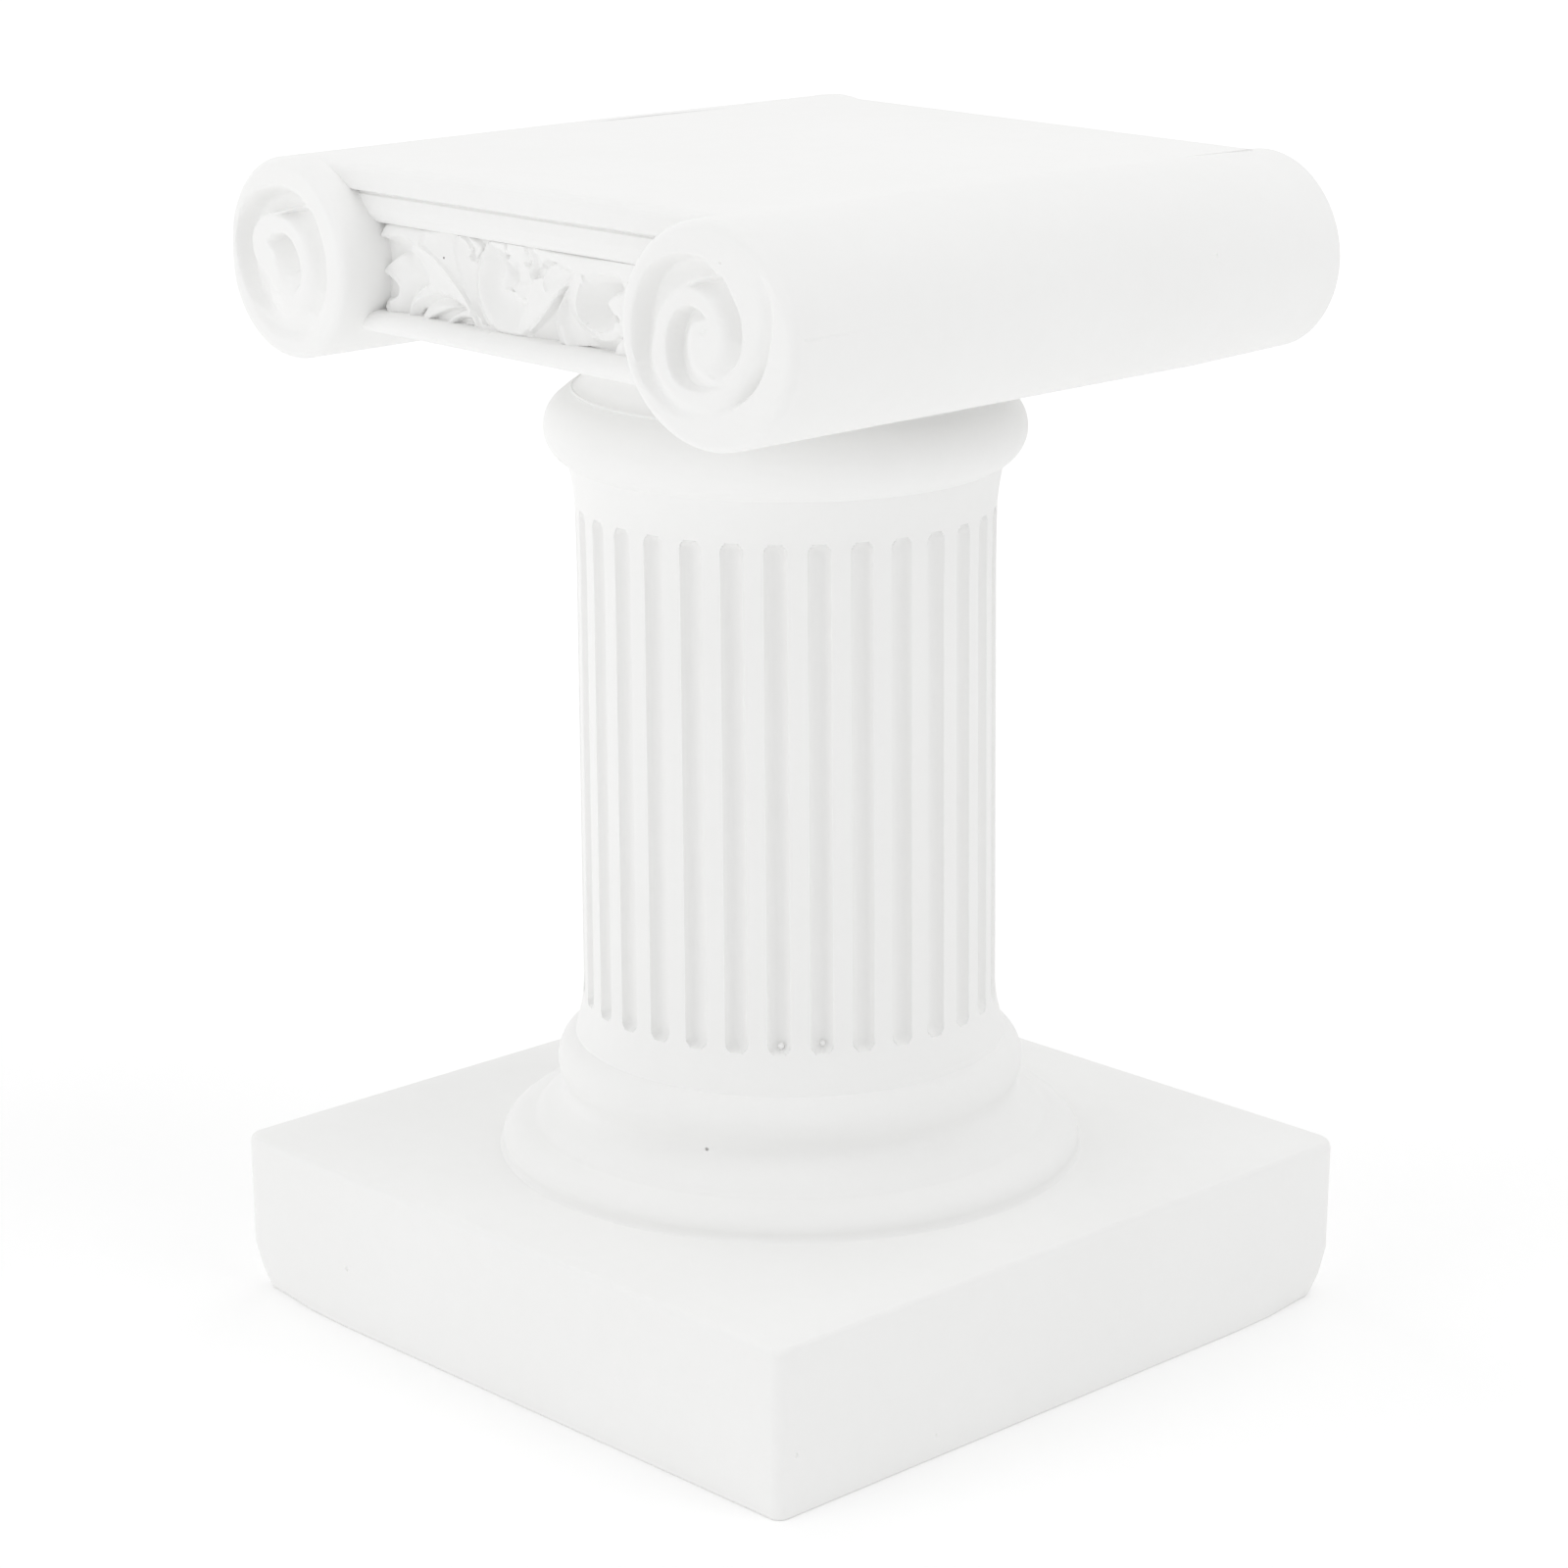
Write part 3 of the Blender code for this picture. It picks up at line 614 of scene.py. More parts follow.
# Cupped petal in the middle, and the leaves that lean over it
SCROLL = (
    Band(
        ((-4.4, 113.7), (-5.0, 112.95), (-5.15, 112.25), (-5.55, 111.45), (-5.8, 110.45),
         (-5.9, 109.45), (-5.8, 108.6), (-5.45, 107.75), (-4.95, 106.9), (-4.35, 106.15),
         (-3.6, 105.55), (-2.5, 105.25), (-1.2, 105.2), (0.2, 105.25), (0.85, 105.55), (2.1, 106.5),
         (3.25, 107.5)),
        ((-2.3, 113.5), (-2.3, 112.9), (-2.2, 112.4), (-2.3, 111.8), (-2.5, 111.1), (-2.6, 110.5),
         (-2.6, 110.0), (-2.3, 109.5), (-1.7, 109.2), (-1.1, 109.05), (-0.5, 108.9), (0.1, 108.9),
         (0.6, 109.0), (1.0, 109.2), (1.5, 109.5), (2.2, 109.6), (3.0, 109.4)),
        (2.05, 2.2, 2.0, 1.72, 1.5, 1.35, 1.25, 1.22, 1.3), walls=(0.2, 0.0)),
    flush_band(
        ((-0.6, 105.2), (0.85, 105.55), (2.1, 106.5), (3.25, 107.5), (4.25, 108.5), (5.2, 109.6),
         (6.05, 110.35), (6.95, 110.95)),
        ((0.0, 108.0), (0.6, 108.9), (1.2, 109.7), (1.9, 110.3), (2.7, 110.45), (3.4, 110.35),
         (4.8, 110.9), (6.8, 111.6)), (1.9, 2.12, 2.08, 1.95, 1.8, 1.6)),
    Band(
        ((-2.7, 113.5), (-2.1, 112.9), (-1.8, 112.45), (-1.5, 111.9), (-1.2, 111.35), (-1.05, 110.75),
         (-1.3, 110.0), (-1.9, 109.3)),
        ((-3.6, 113.0), (-2.9, 112.5), (-2.45, 112.0), (-2.1, 111.5), (-2.5, 110.9), (-2.8, 110.3),
         (-2.75, 109.8), (-2.3, 109.35)), (1.5, 1.75, 1.95, 1.98, 1.85), walls=(0.0, 0.2)),
    Band(
        ((-5.1, 112.3), (-4.6, 112.85), (-3.8, 113.1), (-3.0, 113.0), (-2.3, 112.8), (-1.4, 112.6),
         (-0.6, 112.55), (0.3, 112.8), (1.0, 113.0)),
        ((-5.0, 113.3), (-4.45, 113.85), (-3.65, 114.15), (-2.8, 114.2), (-2.0, 114.15), (-1.6, 114.3),
         (-0.6, 114.25), (0.3, 114.25), (1.0, 114.25)), (1.66, 1.93, 2.04, 2.04), walls=(0.0, 0.12)),
    flush_band(
        ((-1.7, 111.9), (-1.2, 112.5), (-0.4, 112.7), (0.4, 112.9), (1.3, 113.0), (2.3, 113.3),
         (3.4, 113.6), (4.4, 113.4)),
        ((-1.5, 109.6), (-0.5, 108.9), (0.4, 108.9), (1.1, 109.4), (1.7, 110.0), (2.4, 110.3),
         (3.1, 110.6), (4.0, 111.6)), (1.7, 1.5, 1.35, 1.35, 1.5, 1.7)),
    Band(
        ((0.0, 114.25), (0.5, 113.7), (1.3, 113.15), (1.45, 112.4), (1.2, 111.6), (1.15, 110.7)),
        ((1.0, 114.25), (1.5, 113.8), (2.1, 113.3), (2.1, 112.3), (1.8, 111.5), (1.75, 110.7)),
        (1.7, 1.85, 1.8, 1.6), walls=(0.1, 0.0)),
    flush_band(
        ((0.9, 114.25), (1.5, 113.7), (2.2, 113.3), (2.9, 112.9), (3.5, 112.95), (4.2, 113.0)),
        ((2.4, 114.3), (2.9, 114.3), (3.3, 114.3), (3.7, 114.3), (4.0, 114.3), (4.6, 114.3)),
        (1.75, 1.9, 1.95)),
    Band(
        ((3.2, 110.0), (3.05, 110.95), (3.5, 111.7), (4.3, 112.6), (5.6, 113.0), (7.6, 112.9)),
        ((4.0, 110.2), (4.6, 110.4), (5.2, 110.6), (6.0, 110.9), (6.8, 111.3), (7.4, 111.7)),
        (2.04, 2.0, 1.8, 1.7, 1.7, 1.85), walls=(0.2, 0.0)),
)

# Flat grounds between the forms, then the scroll at the right and the leaf beyond it
CREST = (
    flush_band(
        ((0.7, 113.8), (2.0, 113.75), (3.2, 113.7), (4.4, 113.65), (5.7, 113.6)),
        ((0.9, 111.8), (2.1, 112.0), (3.4, 112.2), (4.5, 112.4), (5.6, 112.5)), (1.6, 1.6, 1.55)),
    flush_band(
        ((-1.7, 110.0), (-1.1, 110.1), (-0.5, 110.2), (0.2, 110.3), (0.9, 110.3)),
        ((-1.5, 109.0), (-0.9, 108.7), (-0.2, 108.6), (0.4, 108.6), (1.0, 108.8)), (1.5, 1.45, 1.35)),
    flush_band(
        ((-7.0, 104.6), (-4.0, 104.6), (-1.0, 104.6), (2.0, 104.6)),
        ((-7.0, 105.5), (-4.5, 105.9), (-1.0, 105.7), (1.6, 105.6)), (1.95, 1.95)),
    flush_band(
        ((-2.0, 109.6), (-1.2, 109.2), (-0.2, 109.0), (0.8, 109.0)),
        ((-1.6, 108.6), (-0.9, 108.3), (0.0, 108.2), (0.9, 108.3)), (1.45, 1.4)),
    flush_band(
        ((-2.0, 112.4), (-1.3, 112.9), (-0.6, 113.1), (0.2, 113.1)),
        ((-1.2, 111.4), (-0.9, 111.9), (-0.4, 112.2), (0.3, 112.3)), (1.85, 1.6)),
    flush_band(
        ((-21.3, 104.6), (-21.3, 108.0), (-21.3, 111.0), (-21.3, 114.4)),
        ((-16.5, 104.6), (-15.5, 108.0), (-15.5, 111.0), (-14.5, 114.4)), (1.5, 1.5)),
    flush_band(
        ((15.5, 104.6), (15.0, 108.0), (15.0, 111.0), (14.5, 114.4)),
        ((21.3, 104.6), (21.3, 108.0), (21.3, 111.0), (21.3, 114.4)), (1.5, 1.5)),
    flush_band(
        ((8.6, 112.5), (9.2, 112.6), (10.0, 112.6)),
        ((8.7, 111.2), (9.4, 111.4), (10.2, 111.7)), (1.95, 1.8)),
    flush_band(
        ((0.4, 108.6), (1.2, 109.0), (2.2, 109.3), (3.2, 109.2)),
        ((0.9, 110.2), (1.6, 110.9), (2.6, 111.2), (3.6, 111.2)), (1.75, 1.75)),
    flush_band(
        ((12.6, 107.0), (13.4, 107.5), (14.1, 108.2), (14.3, 109.0)),
        ((12.4, 107.6), (12.9, 108.1), (13.2, 108.7), (13.2, 109.3)), (1.95, 1.7, 1.35)),
    flush_band(
        ((13.9, 105.2), (14.3, 106.0), (14.5, 106.9), (14.9, 107.6)),
        ((15.9, 105.2), (15.8, 106.0), (15.6, 106.9), (15.5, 107.6)), (1.75, 1.75)),
    flush_band(
        ((14.2, 112.6), (15.2, 112.4), (16.4, 112.7), (17.4, 112.4)),
        ((14.0, 110.9), (15.0, 110.9), (16.2, 110.8), (17.2, 110.8)), (1.8, 1.75, 1.8)),
    flush_band(
        ((-0.6, 105.4), (0.6, 105.75), (1.9, 106.7), (3.05, 107.7), (4.05, 108.7), (5.0, 109.8),
         (6.0, 110.55), (6.9, 111.1)),
        ((5.9, 105.2), (6.0, 105.7), (5.8, 106.5), (5.6, 107.2), (5.6, 107.9), (5.9, 108.7),
         (6.4, 109.6), (7.1, 110.6)), (1.9, 1.72, 1.54, 1.36, 1.2, 1.05)),
    flush_band(
        ((6.6, 111.2), (7.2, 111.9), (7.8, 112.6), (8.6, 113.0), (9.6, 113.0)),
        ((7.2, 110.6), (7.9, 111.0), (8.6, 111.4), (9.2, 111.8), (9.8, 112.2)), (1.95, 1.95, 1.95)),
    flush_band(
        ((9.6, 107.2), (11.2, 106.5), (12.9, 106.6), (14.2, 107.2)),
        ((9.2, 105.2), (10.6, 105.2), (12.4, 105.2), (13.6, 105.2)), (1.9, 1.6, 1.35, 1.3)),
    flush_band(
        ((15.0, 112.2), (14.6, 111.4), (13.65, 111.05), (12.95, 110.75), (12.35, 110.05),
         (12.7, 109.45), (13.25, 108.95), (13.8, 108.7)),
        ((14.6, 112.0), (13.8, 111.3), (12.9, 110.8), (12.3, 110.4), (11.6, 109.9), (11.9, 109.2),
         (12.6, 108.9), (13.2, 108.9)), (1.5, 1.3)),
    Band(
        ((4.1, 112.95), (5.6, 112.85), (7.0, 112.4), (8.0, 111.75), (8.95, 112.1), (9.9, 112.1),
         (11.3, 112.45), (13.0, 112.5), (14.1, 112.35), (15.0, 112.15), (16.4, 112.4)),
        ((3.6, 114.3), (4.6, 114.25), (6.0, 114.2), (7.4, 114.15), (8.6, 114.1), (9.7, 114.1),
         (10.9, 114.15), (11.9, 114.25), (12.6, 114.3), (14.0, 114.3), (16.6, 114.3)),
        (1.93, 2.04, 2.08, 2.04), walls=(0.0, 0.1)),
    Band(
        ((7.3, 111.5), (6.85, 110.0), (6.15, 109.1), (5.7, 108.3), (5.55, 107.5), (5.7, 106.8),
         (6.15, 105.9), (6.5, 105.2)),
        ((7.1, 111.1), (6.9, 109.9), (7.3, 109.05), (7.95, 108.25), (8.8, 107.5), (9.8, 106.9),
         (10.3, 106.2), (10.6, 105.6)), (2.15, 2.15, 1.8, 1.66, 1.58, 1.52, 1.4), walls=(0.12, 0.0)),
    Band(
        ((7.1, 111.6), (6.85, 110.0), (7.25, 109.1), (7.9, 108.3), (8.8, 107.55), (9.8, 106.9),
         (11.15, 106.35), (12.8, 106.4), (14.0, 107.0), (14.7, 107.7)),
        ((9.05, 112.2), (9.0, 111.5), (8.55, 110.6), (8.3, 109.65), (8.4, 108.9), (8.7, 108.3),
         (9.4, 107.7), (10.6, 107.3), (11.7, 107.2), (12.9, 107.5)),
        (2.08, 2.04, 1.97, 1.93, 1.95, 2.05, 2.15), walls=(0.15, 0.0)),
    Band(
        ((11.7, 106.35), (12.8, 106.4), (14.0, 107.0), (14.8, 107.8)),
        ((11.7, 107.2), (12.9, 107.5), (13.45, 108.0), (13.6, 108.6)),
        (1.96, 2.11, 2.11), walls=(0.2, 0.0)),
    flush_band(
        ((9.1, 111.7), (8.55, 110.6), (8.3, 109.65), (8.4, 108.9), (8.7, 108.3), (9.4, 107.7),
         (10.6, 107.3), (11.7, 107.2), (12.9, 107.5), (13.45, 108.0), (13.6, 108.6), (13.3, 109.0)),
        ((12.6, 111.0), (12.0, 110.5), (11.4, 110.0), (11.0, 109.5), (10.9, 109.35), (10.95, 109.2),
         (11.1, 109.0), (11.3, 108.85), (11.6, 108.8), (11.9, 108.8), (12.3, 108.9), (12.7, 109.1)),
        (2.15, 1.92, 1.68, 1.45, 1.22, 1.0, 0.8)),
    flush_band(
        ((8.9, 111.5), (9.85, 112.1), (11.3, 112.5), (13.0, 112.55), (14.1, 112.4), (15.1, 112.2)),
        ((10.9, 109.4), (11.2, 109.8), (11.7, 110.3), (12.3, 110.6), (13.2, 110.9), (14.6, 111.3)),
        (2.05, 1.72, 1.4, 1.08, 0.8)),
    Band(
        ((14.95, 112.3), (14.65, 111.4), (13.65, 111.05), (12.95, 110.75), (12.35, 110.05),
         (12.7, 109.45), (13.25, 108.95), (13.8, 108.7), (13.7, 108.1), (13.2, 107.4)),
        ((16.4, 112.7), (16.3, 111.8), (16.1, 111.0), (15.9, 110.2), (15.8, 109.5), (15.7, 108.9),
         (15.6, 108.3), (15.4, 107.8), (15.1, 107.4), (14.4, 106.9)),
        (2.04, 2.15, 2.04, 1.9), walls=(0.2, 0.2)),
    Band(
        ((13.0, 105.2), (13.35, 106.2), (14.15, 107.0), (14.65, 107.1)),
        ((15.3, 105.2), (15.4, 105.8), (15.2, 106.4), (15.0, 106.9)), (1.96, 2.15, 1.9), walls=(0.2, 0.2)),
    Band(
        ((13.8, 106.6), (14.9, 107.8), (16.4, 109.6), (18.0, 111.4), (20.4, 113.2)),
        ((15.5, 105.6), (17.0, 107.2), (18.2, 108.9), (19.6, 110.6), (20.6, 111.5)),
        (2.18, 1.9, 1.66, 1.43)),
    Band(
        ((15.6, 105.2), (17.0, 106.6), (18.6, 108.2), (20.4, 109.6)),
        ((17.2, 105.2), (18.3, 106.0), (19.4, 106.9), (20.5, 107.8)), (2.15, 1.8, 1.43)),
    Band(
        ((17.6, 105.2), (19.0, 106.0), (20.4, 106.6)),
        ((18.6, 105.1), (19.6, 105.2), (20.5, 105.2)), (2.04, 1.8, 1.43)),
    Band(
        ((16.2, 114.3), (16.6, 113.2), (17.2, 112.2), (18.2, 111.9), (19.2, 112.6)),
        ((18.6, 114.3), (18.8, 113.8), (19.2, 113.4), (19.8, 113.2), (20.4, 113.4)), (2.11, 1.9, 1.96)),
)

# What is sunk into the forms
HOLLOWS = (
    Band(
        ((14.35, 111.75), (12.1, 111.95), (10.0, 111.4), (8.9, 110.3), (8.65, 109.15), (9.05, 107.95),
         (10.1, 107.2), (11.45, 106.95), (12.85, 107.5)),
        ((14.35, 111.4), (13.4, 111.05), (12.8, 110.6), (12.45, 110.05), (12.45, 109.55),
         (12.75, 109.1), (13.15, 108.75), (13.4, 108.35), (13.2, 107.9)),
        (-0.1, -0.32, -0.5, -0.6, -0.45), (0.5, 0.8, 1.0, 1.0, 1.0, 0.9, 0.7, 0.5, 0.3), (0.4, 0.1)),
    Band(
        ((-20.6, 113.7), (-17.0, 113.75), (-13.8, 113.75), (-10.5, 113.85), (-7.0, 113.85),
         (-3.5, 113.85), (0.0, 113.85), (3.5, 113.8), (7.0, 113.8), (10.5, 113.8), (14.0, 113.9)),
        ((-20.6, 114.4), (-17.0, 114.4), (-13.8, 114.4), (-10.5, 114.4), (-7.0, 114.4), (-3.5, 114.4),
         (0.0, 114.4), (3.5, 114.4), (7.0, 114.4), (10.5, 114.4), (14.0, 114.4)),
        (-0.2, -0.45, -0.5), (0.3, 0.6, 1.0, 0.35, 0.4, 1.0, 0.3, 0.7, 1.0, 0.9, 0.0), (0.15, 0.0)),
    Band(
        ((0.2, 112.35), (0.7, 112.3), (1.15, 112.45), (1.5, 112.6)),
        ((0.3, 111.9), (0.7, 111.6), (1.1, 111.75), (1.5, 112.2)),
        (-0.25, -0.4, -0.25), walls=(0.15, 0.15)),
    Band(
        ((2.7, 112.5), (3.3, 112.75), (3.9, 112.85), (4.3, 112.8)),
        ((2.9, 111.9), (3.3, 112.1), (3.7, 112.4), (4.2, 112.6)), (-0.25, -0.35, -0.2), walls=(0.15, 0.15)),
    Band(
        ((5.8, 112.65), (6.6, 112.52), (7.7, 112.4)),
        ((5.9, 112.4), (6.6, 112.3), (7.6, 112.18)), (-0.25, -0.25), walls=(0.1, 0.1)),
    Band(
        ((-1.85, 113.0), (-1.75, 113.5), (-1.65, 114.0), (-1.6, 114.3)),
        ((-2.15, 113.0), (-2.05, 113.5), (-1.95, 114.0), (-1.9, 114.3)),
        (-0.5, -0.5), (0.0, 1.0, 1.0), (0.1, 0.1)),
)

# Thin raised lines along the edges of the leaves
RIDGES = (
    Ridge(((-17.6, 112.95), (-16.4, 112.95), (-15.4, 112.7), (-14.45, 112.35), (-13.0, 111.8),
           (-11.5, 111.05), (-10.3, 110.25), (-9.15, 109.3), (-8.0, 108.25), (-7.05, 107.2),
           (-6.25, 106.15), (-5.6, 105.2)), 2.2, 0.45),
    Ridge(((-5.4, 105.2), (-6.25, 106.7), (-6.9, 107.75), (-7.6, 108.6), (-8.15, 109.4), (-8.6, 110.35),
           (-9.05, 111.5), (-9.2, 112.4), (-9.15, 113.15), (-8.9, 113.75), (-8.4, 113.95),
           (-7.9, 113.6), (-7.4, 113.0)), 2.17, 0.42),
    Ridge(((-4.8, 113.2), (-5.1, 112.4), (-5.5, 111.45), (-5.75, 110.45), (-5.85, 109.45),
           (-5.75, 108.6), (-5.4, 107.75), (-4.9, 106.9), (-4.3, 106.15), (-3.5, 105.5)), 2.3, 0.45),
    Ridge(((1.2, 105.8), (2.1, 106.5), (3.25, 107.5), (4.25, 108.5), (5.2, 109.6), (6.05, 110.35)), 2.2),
    Ridge(((6.4, 105.2), (6.1, 105.9), (5.75, 106.8), (5.65, 107.5), (5.8, 108.3), (6.2, 109.1),
           (6.8, 110.0), (7.1, 111.0))),
    Ridge(((6.85, 110.2), (7.25, 109.1), (7.9, 108.3), (8.8, 107.5), (9.8, 106.9), (11.15, 106.35)),
          2.18, 0.42),
    Ridge(((9.1, 111.7), (8.55, 110.6), (8.3, 109.65), (8.4, 108.9), (8.7, 108.3), (9.3, 107.8)), 2.25),
    Ridge(((-20.0, 109.7), (-19.5, 109.35), (-18.7, 109.05), (-17.9, 108.6), (-17.45, 108.05),
           (-17.45, 107.4), (-17.85, 106.85), (-18.8, 106.4), (-20.0, 106.15)), 2.25, 0.8, 0.35),
    Ridge(((-16.3, 105.2), (-15.95, 106.6), (-15.2, 107.55), (-14.4, 108.15), (-13.4, 108.65)), 2.05),
    Ridge(((-14.05, 112.3), (-14.0, 113.2), (-13.95, 114.2)), 2.14, 0.3, 0.3),
    Ridge(((1.5, 110.8), (1.4, 111.4), (1.3, 112.0), (1.3, 112.6)), 1.95, 0.4, 0.3),
)

ACANTHUS = Carving(
    LEAF + BUD + SCROLL + CREST + HOLLOWS + RIDGES,
    ground=0.8, foot=1.5, softness=0.075, level=2.1, strength=1.4)


class Field:
    """Fine surface of a carving, refined only where the carving bends."""

    def __init__(self, piece: bpy.types.Object, heights: Heights, pose: Pose) -> None:
        """Keep a flat grid and the two functions that shape it.

        Args:
            piece: A flat grid whose x and y are across and up, in millimetres.
            heights: Gives the height for rows (across, up).
            pose: Gives places in metres from rows (across, up) and their heights.
        """
        self.piece = piece
        self.heights = heights
        self.pose = pose

    def refine(self, tolerance: float, rounds: int = 2) -> None:
        """Subdivide the faces whose middle is off the carved surface.

        Args:
            tolerance: Largest gap in millimetres that is left alone.
            rounds: How many times to look and subdivide.
        """
        for _ in range(rounds):
            flat = Bench.coordinates(self.piece)[:, :2]
            at_vertices = self.heights(flat)
            faces = self.piece.data.polygons
            middles = np.array([flat[list(face.vertices)].mean(0) for face in faces])
            drawn = np.array([at_vertices[list(face.vertices)].mean() for face in faces])
            rim = self.rim()
            inner = np.array([rim.isdisjoint(face.vertices) for face in faces])
            wanted = inner & (np.abs(self.heights(middles) - drawn) > tolerance)
            Bench.edit(self.piece)
            bpy.ops.mesh.select_all(action="DESELECT")
            bpy.ops.mesh.select_mode(type="FACE")
            bpy.ops.object.mode_set(mode="OBJECT")
            faces.foreach_set("select", wanted)
            bpy.ops.object.mode_set(mode="EDIT")
            bpy.ops.mesh.subdivide(number_cuts=1)
            bpy.ops.object.mode_set(mode="OBJECT")

    def rim(self) -> set[int]:
        """Find the open rim, which stays as it is so that two ends can meet.

        Returns:
            The numbers of its vertices.
        """
        mesh = self.piece.data
        uses = np.bincount([loop.edge_index for loop in mesh.loops], minlength=len(mesh.edges))
        return {vertex for edge in mesh.edges if uses[edge.index] == 1 for vertex in edge.vertices}

    def raise_up(self) -> None:
        """Move every vertex from the flat grid to the carved surface."""
        flat = Bench.coordinates(self.piece)[:, :2]
        Bench.edit(self.piece)
        bpy.ops.mesh.quads_convert_to_tris(quad_method="BEAUTY", ngon_method="BEAUTY")
        bpy.ops.object.mode_set(mode="OBJECT")
        Bench.move(self.piece, self.pose(flat, self.heights(flat)))


@dataclass
class Plinth:
    """Square block with one crisp upright edge towards the camera and three worn ones."""

    width: float = 81.0
    height: float = 17.0
    corners: tuple[Corner, ...] = ((1, -1, 1.2), (-1, -1, 1.9), (1, 1, 2.6), (-1, 1, 3.0))
    corner_steps: int = 7
    top_rounding: float = 0.7
    foot_rounding: float = 0.25
    edge_steps: int = 4
    upright_cuts: int = 13
    cut_reach: float = 0.9
    level_cuts: Row = (0.3, 0.14)
    foot_wear: float = 1.3
    wear_reach: float = 14.0
    wear_height: float = 7.0

    def build(self) -> bpy.types.Object:
        """Model the block: a cube, its upright edges beveled, then its top and foot, then cuts.

        The cuts give the long faces the vertices that the worn corners need.

        Returns:
            The closed block.
        """
        Bench.start()
        half = self.width / 2 * MM
        tall = self.height * MM
        size = (2 * half, 2 * half, tall)
        bpy.ops.mesh.primitive_cube_add(size=1, location=(0, 0, tall / 2), scale=size)
        piece = bpy.context.active_object
        piece.name = "plinth"
        Bench.place(piece)
        for across, along, rounding in self.corners:
            self.choose_upright(piece, across, along)
            bpy.ops.mesh.bevel(offset=rounding * MM, segments=self.corner_steps, affect="EDGES")
        for level, offset in ((tall, self.top_rounding), (0.0, self.foot_rounding)):
            Bench.choose(piece, lambda place, level=level: abs(place.z - level) < 1e-6)
            bpy.ops.mesh.bevel(offset=offset * MM, segments=self.edge_steps, affect="EDGES")
        for normal in (Vector((1, 0, 0)), Vector((0, 1, 0))):
            for share in np.linspace(-self.cut_reach, self.cut_reach, self.upright_cuts):
                Bench.edit(piece)
                bpy.ops.mesh.bisect(plane_co=normal * (share * half), plane_no=normal)
        for share in self.level_cuts:
            Bench.edit(piece)
            bpy.ops.mesh.bisect(plane_co=(0, 0, share * tall), plane_no=(0, 0, 1))
        Bench.close(piece)
        self.wear(piece)
        return piece

    def choose_upright(self, piece: bpy.types.Object, across: int, along: int) -> None:
        """Select one upright edge of the block.

        Args:
            piece: The block.
            across: 1 or -1, the edge's side in X.
            along: 1 or -1, the edge's side in Y.
        """
        corner = Vector((across, along, 0)) * (self.width / 2 * MM)
        Bench.edit(piece)
        bpy.ops.mesh.select_all(action="DESELECT")
        bpy.ops.mesh.select_mode(type="EDGE")
        bpy.ops.object.mode_set(mode="OBJECT")
        for edge in piece.data.edges:
            ends = [piece.data.vertices[index].co for index in edge.vertices]
            edge.select = all((end - corner).xy.length < 0.1 * MM for end in ends)
        bpy.ops.object.mode_set(mode="EDIT")

    def wear(self, piece: bpy.types.Object) -> None:
        """Rub the lower ends of the left and right corners away.

        Args:
            piece: The block.
        """
        places = Bench.coordinates(piece) / MM
        reach = places[:, :2]
        half = self.width / 2
        for corner in ((-half, -half), (half, half)):
            near = np.clip(1 - np.hypot(*(reach - corner).T) / self.wear_reach, 0, 1)
            low = np.clip(1 - places[:, 2] / self.wear_height, 0, 1) ** 2
            pull = self.foot_wear * eased(near) * low
            places[:, 0] -= np.sign(corner[0]) * pull
            places[:, 1] -= np.sign(corner[1]) * pull
        Bench.move(piece, places * MM)


@dataclass
class Flutes:
    """Round-ended hollows round the shaft.

    The mould pressed them a little closer together on one side: crowding is how far, as an
    angle in radians, and crowded_at is where, in degrees.
    """

    count: int = 30
    turn: float = -46.8
    half_width: float = 1.16
    depth: float = 1.22
    crowding: float = 0.0375
    crowded_at: float = -43.84
    low: float = 33.3
    high: float = 84.8
    squareness: float = 2.7
    outer_slope: float = 2.5
    softness: float = 0.055
    columns: Row = (0.0, 0.36, 0.64, 0.83, 0.94, 0.99, 1.05, 1.2)
    end_rows: Row = (-0.3, -0.12, 0.0, 0.1, 0.25, 0.5, 0.85, 1.235)
    middle_rows: int = 6
    middle_from: float = 6.0

    def column_shares(self, radius: float) -> list[float]:
        """Places of the mesh columns over one pitch, as shares of the pitch.

        Args:
            radius: Radius of the shaft.

        Returns:
            Shares from 0 at a flute's middle up to just under 1 at the next one.
        """
        pitch = math.tau * radius / self.count
        right = [share * self.half_width / pitch for share in self.columns]
        return right + [0.5] + [1 - share for share in reversed(right[1:])]

    def hollow(self, across: np.ndarray, heights: np.ndarray) -> np.ndarray:
        """Depth of the hollow.

        Args:
            across: Distance round the shaft from the nearest flute's middle.
            heights: Height of each place.

        Returns:
            The depth in millimetres at each place.
        """
        over = heights - (self.high - self.half_width)
        under = (self.low + self.half_width) - heights
        beyond = np.maximum(np.maximum(over, under), 0)
        reach = np.hypot(across, beyond)
        share = reach / self.half_width
        sunk = self.depth * np.sqrt(np.maximum(1 - share**self.squareness, 0))
        signed = np.where(reach < self.half_width, sunk, -(reach - self.half_width) * self.outer_slope)
        return 0.5 * (signed + np.sqrt(signed**2 + self.softness**2))

    def rows(self) -> list[float]:
        """Heights of the mesh rows that the flutes need.

        Returns:
            The heights in rising order, close together at both ends.
        """
        start, stop = self.low + self.middle_from, self.high - self.middle_from
        lower = [self.low + step for step in self.end_rows]
        upper = [self.high - step for step in self.end_rows]
        return sorted(lower + list(np.linspace(start, stop, self.middle_rows)) + upper)


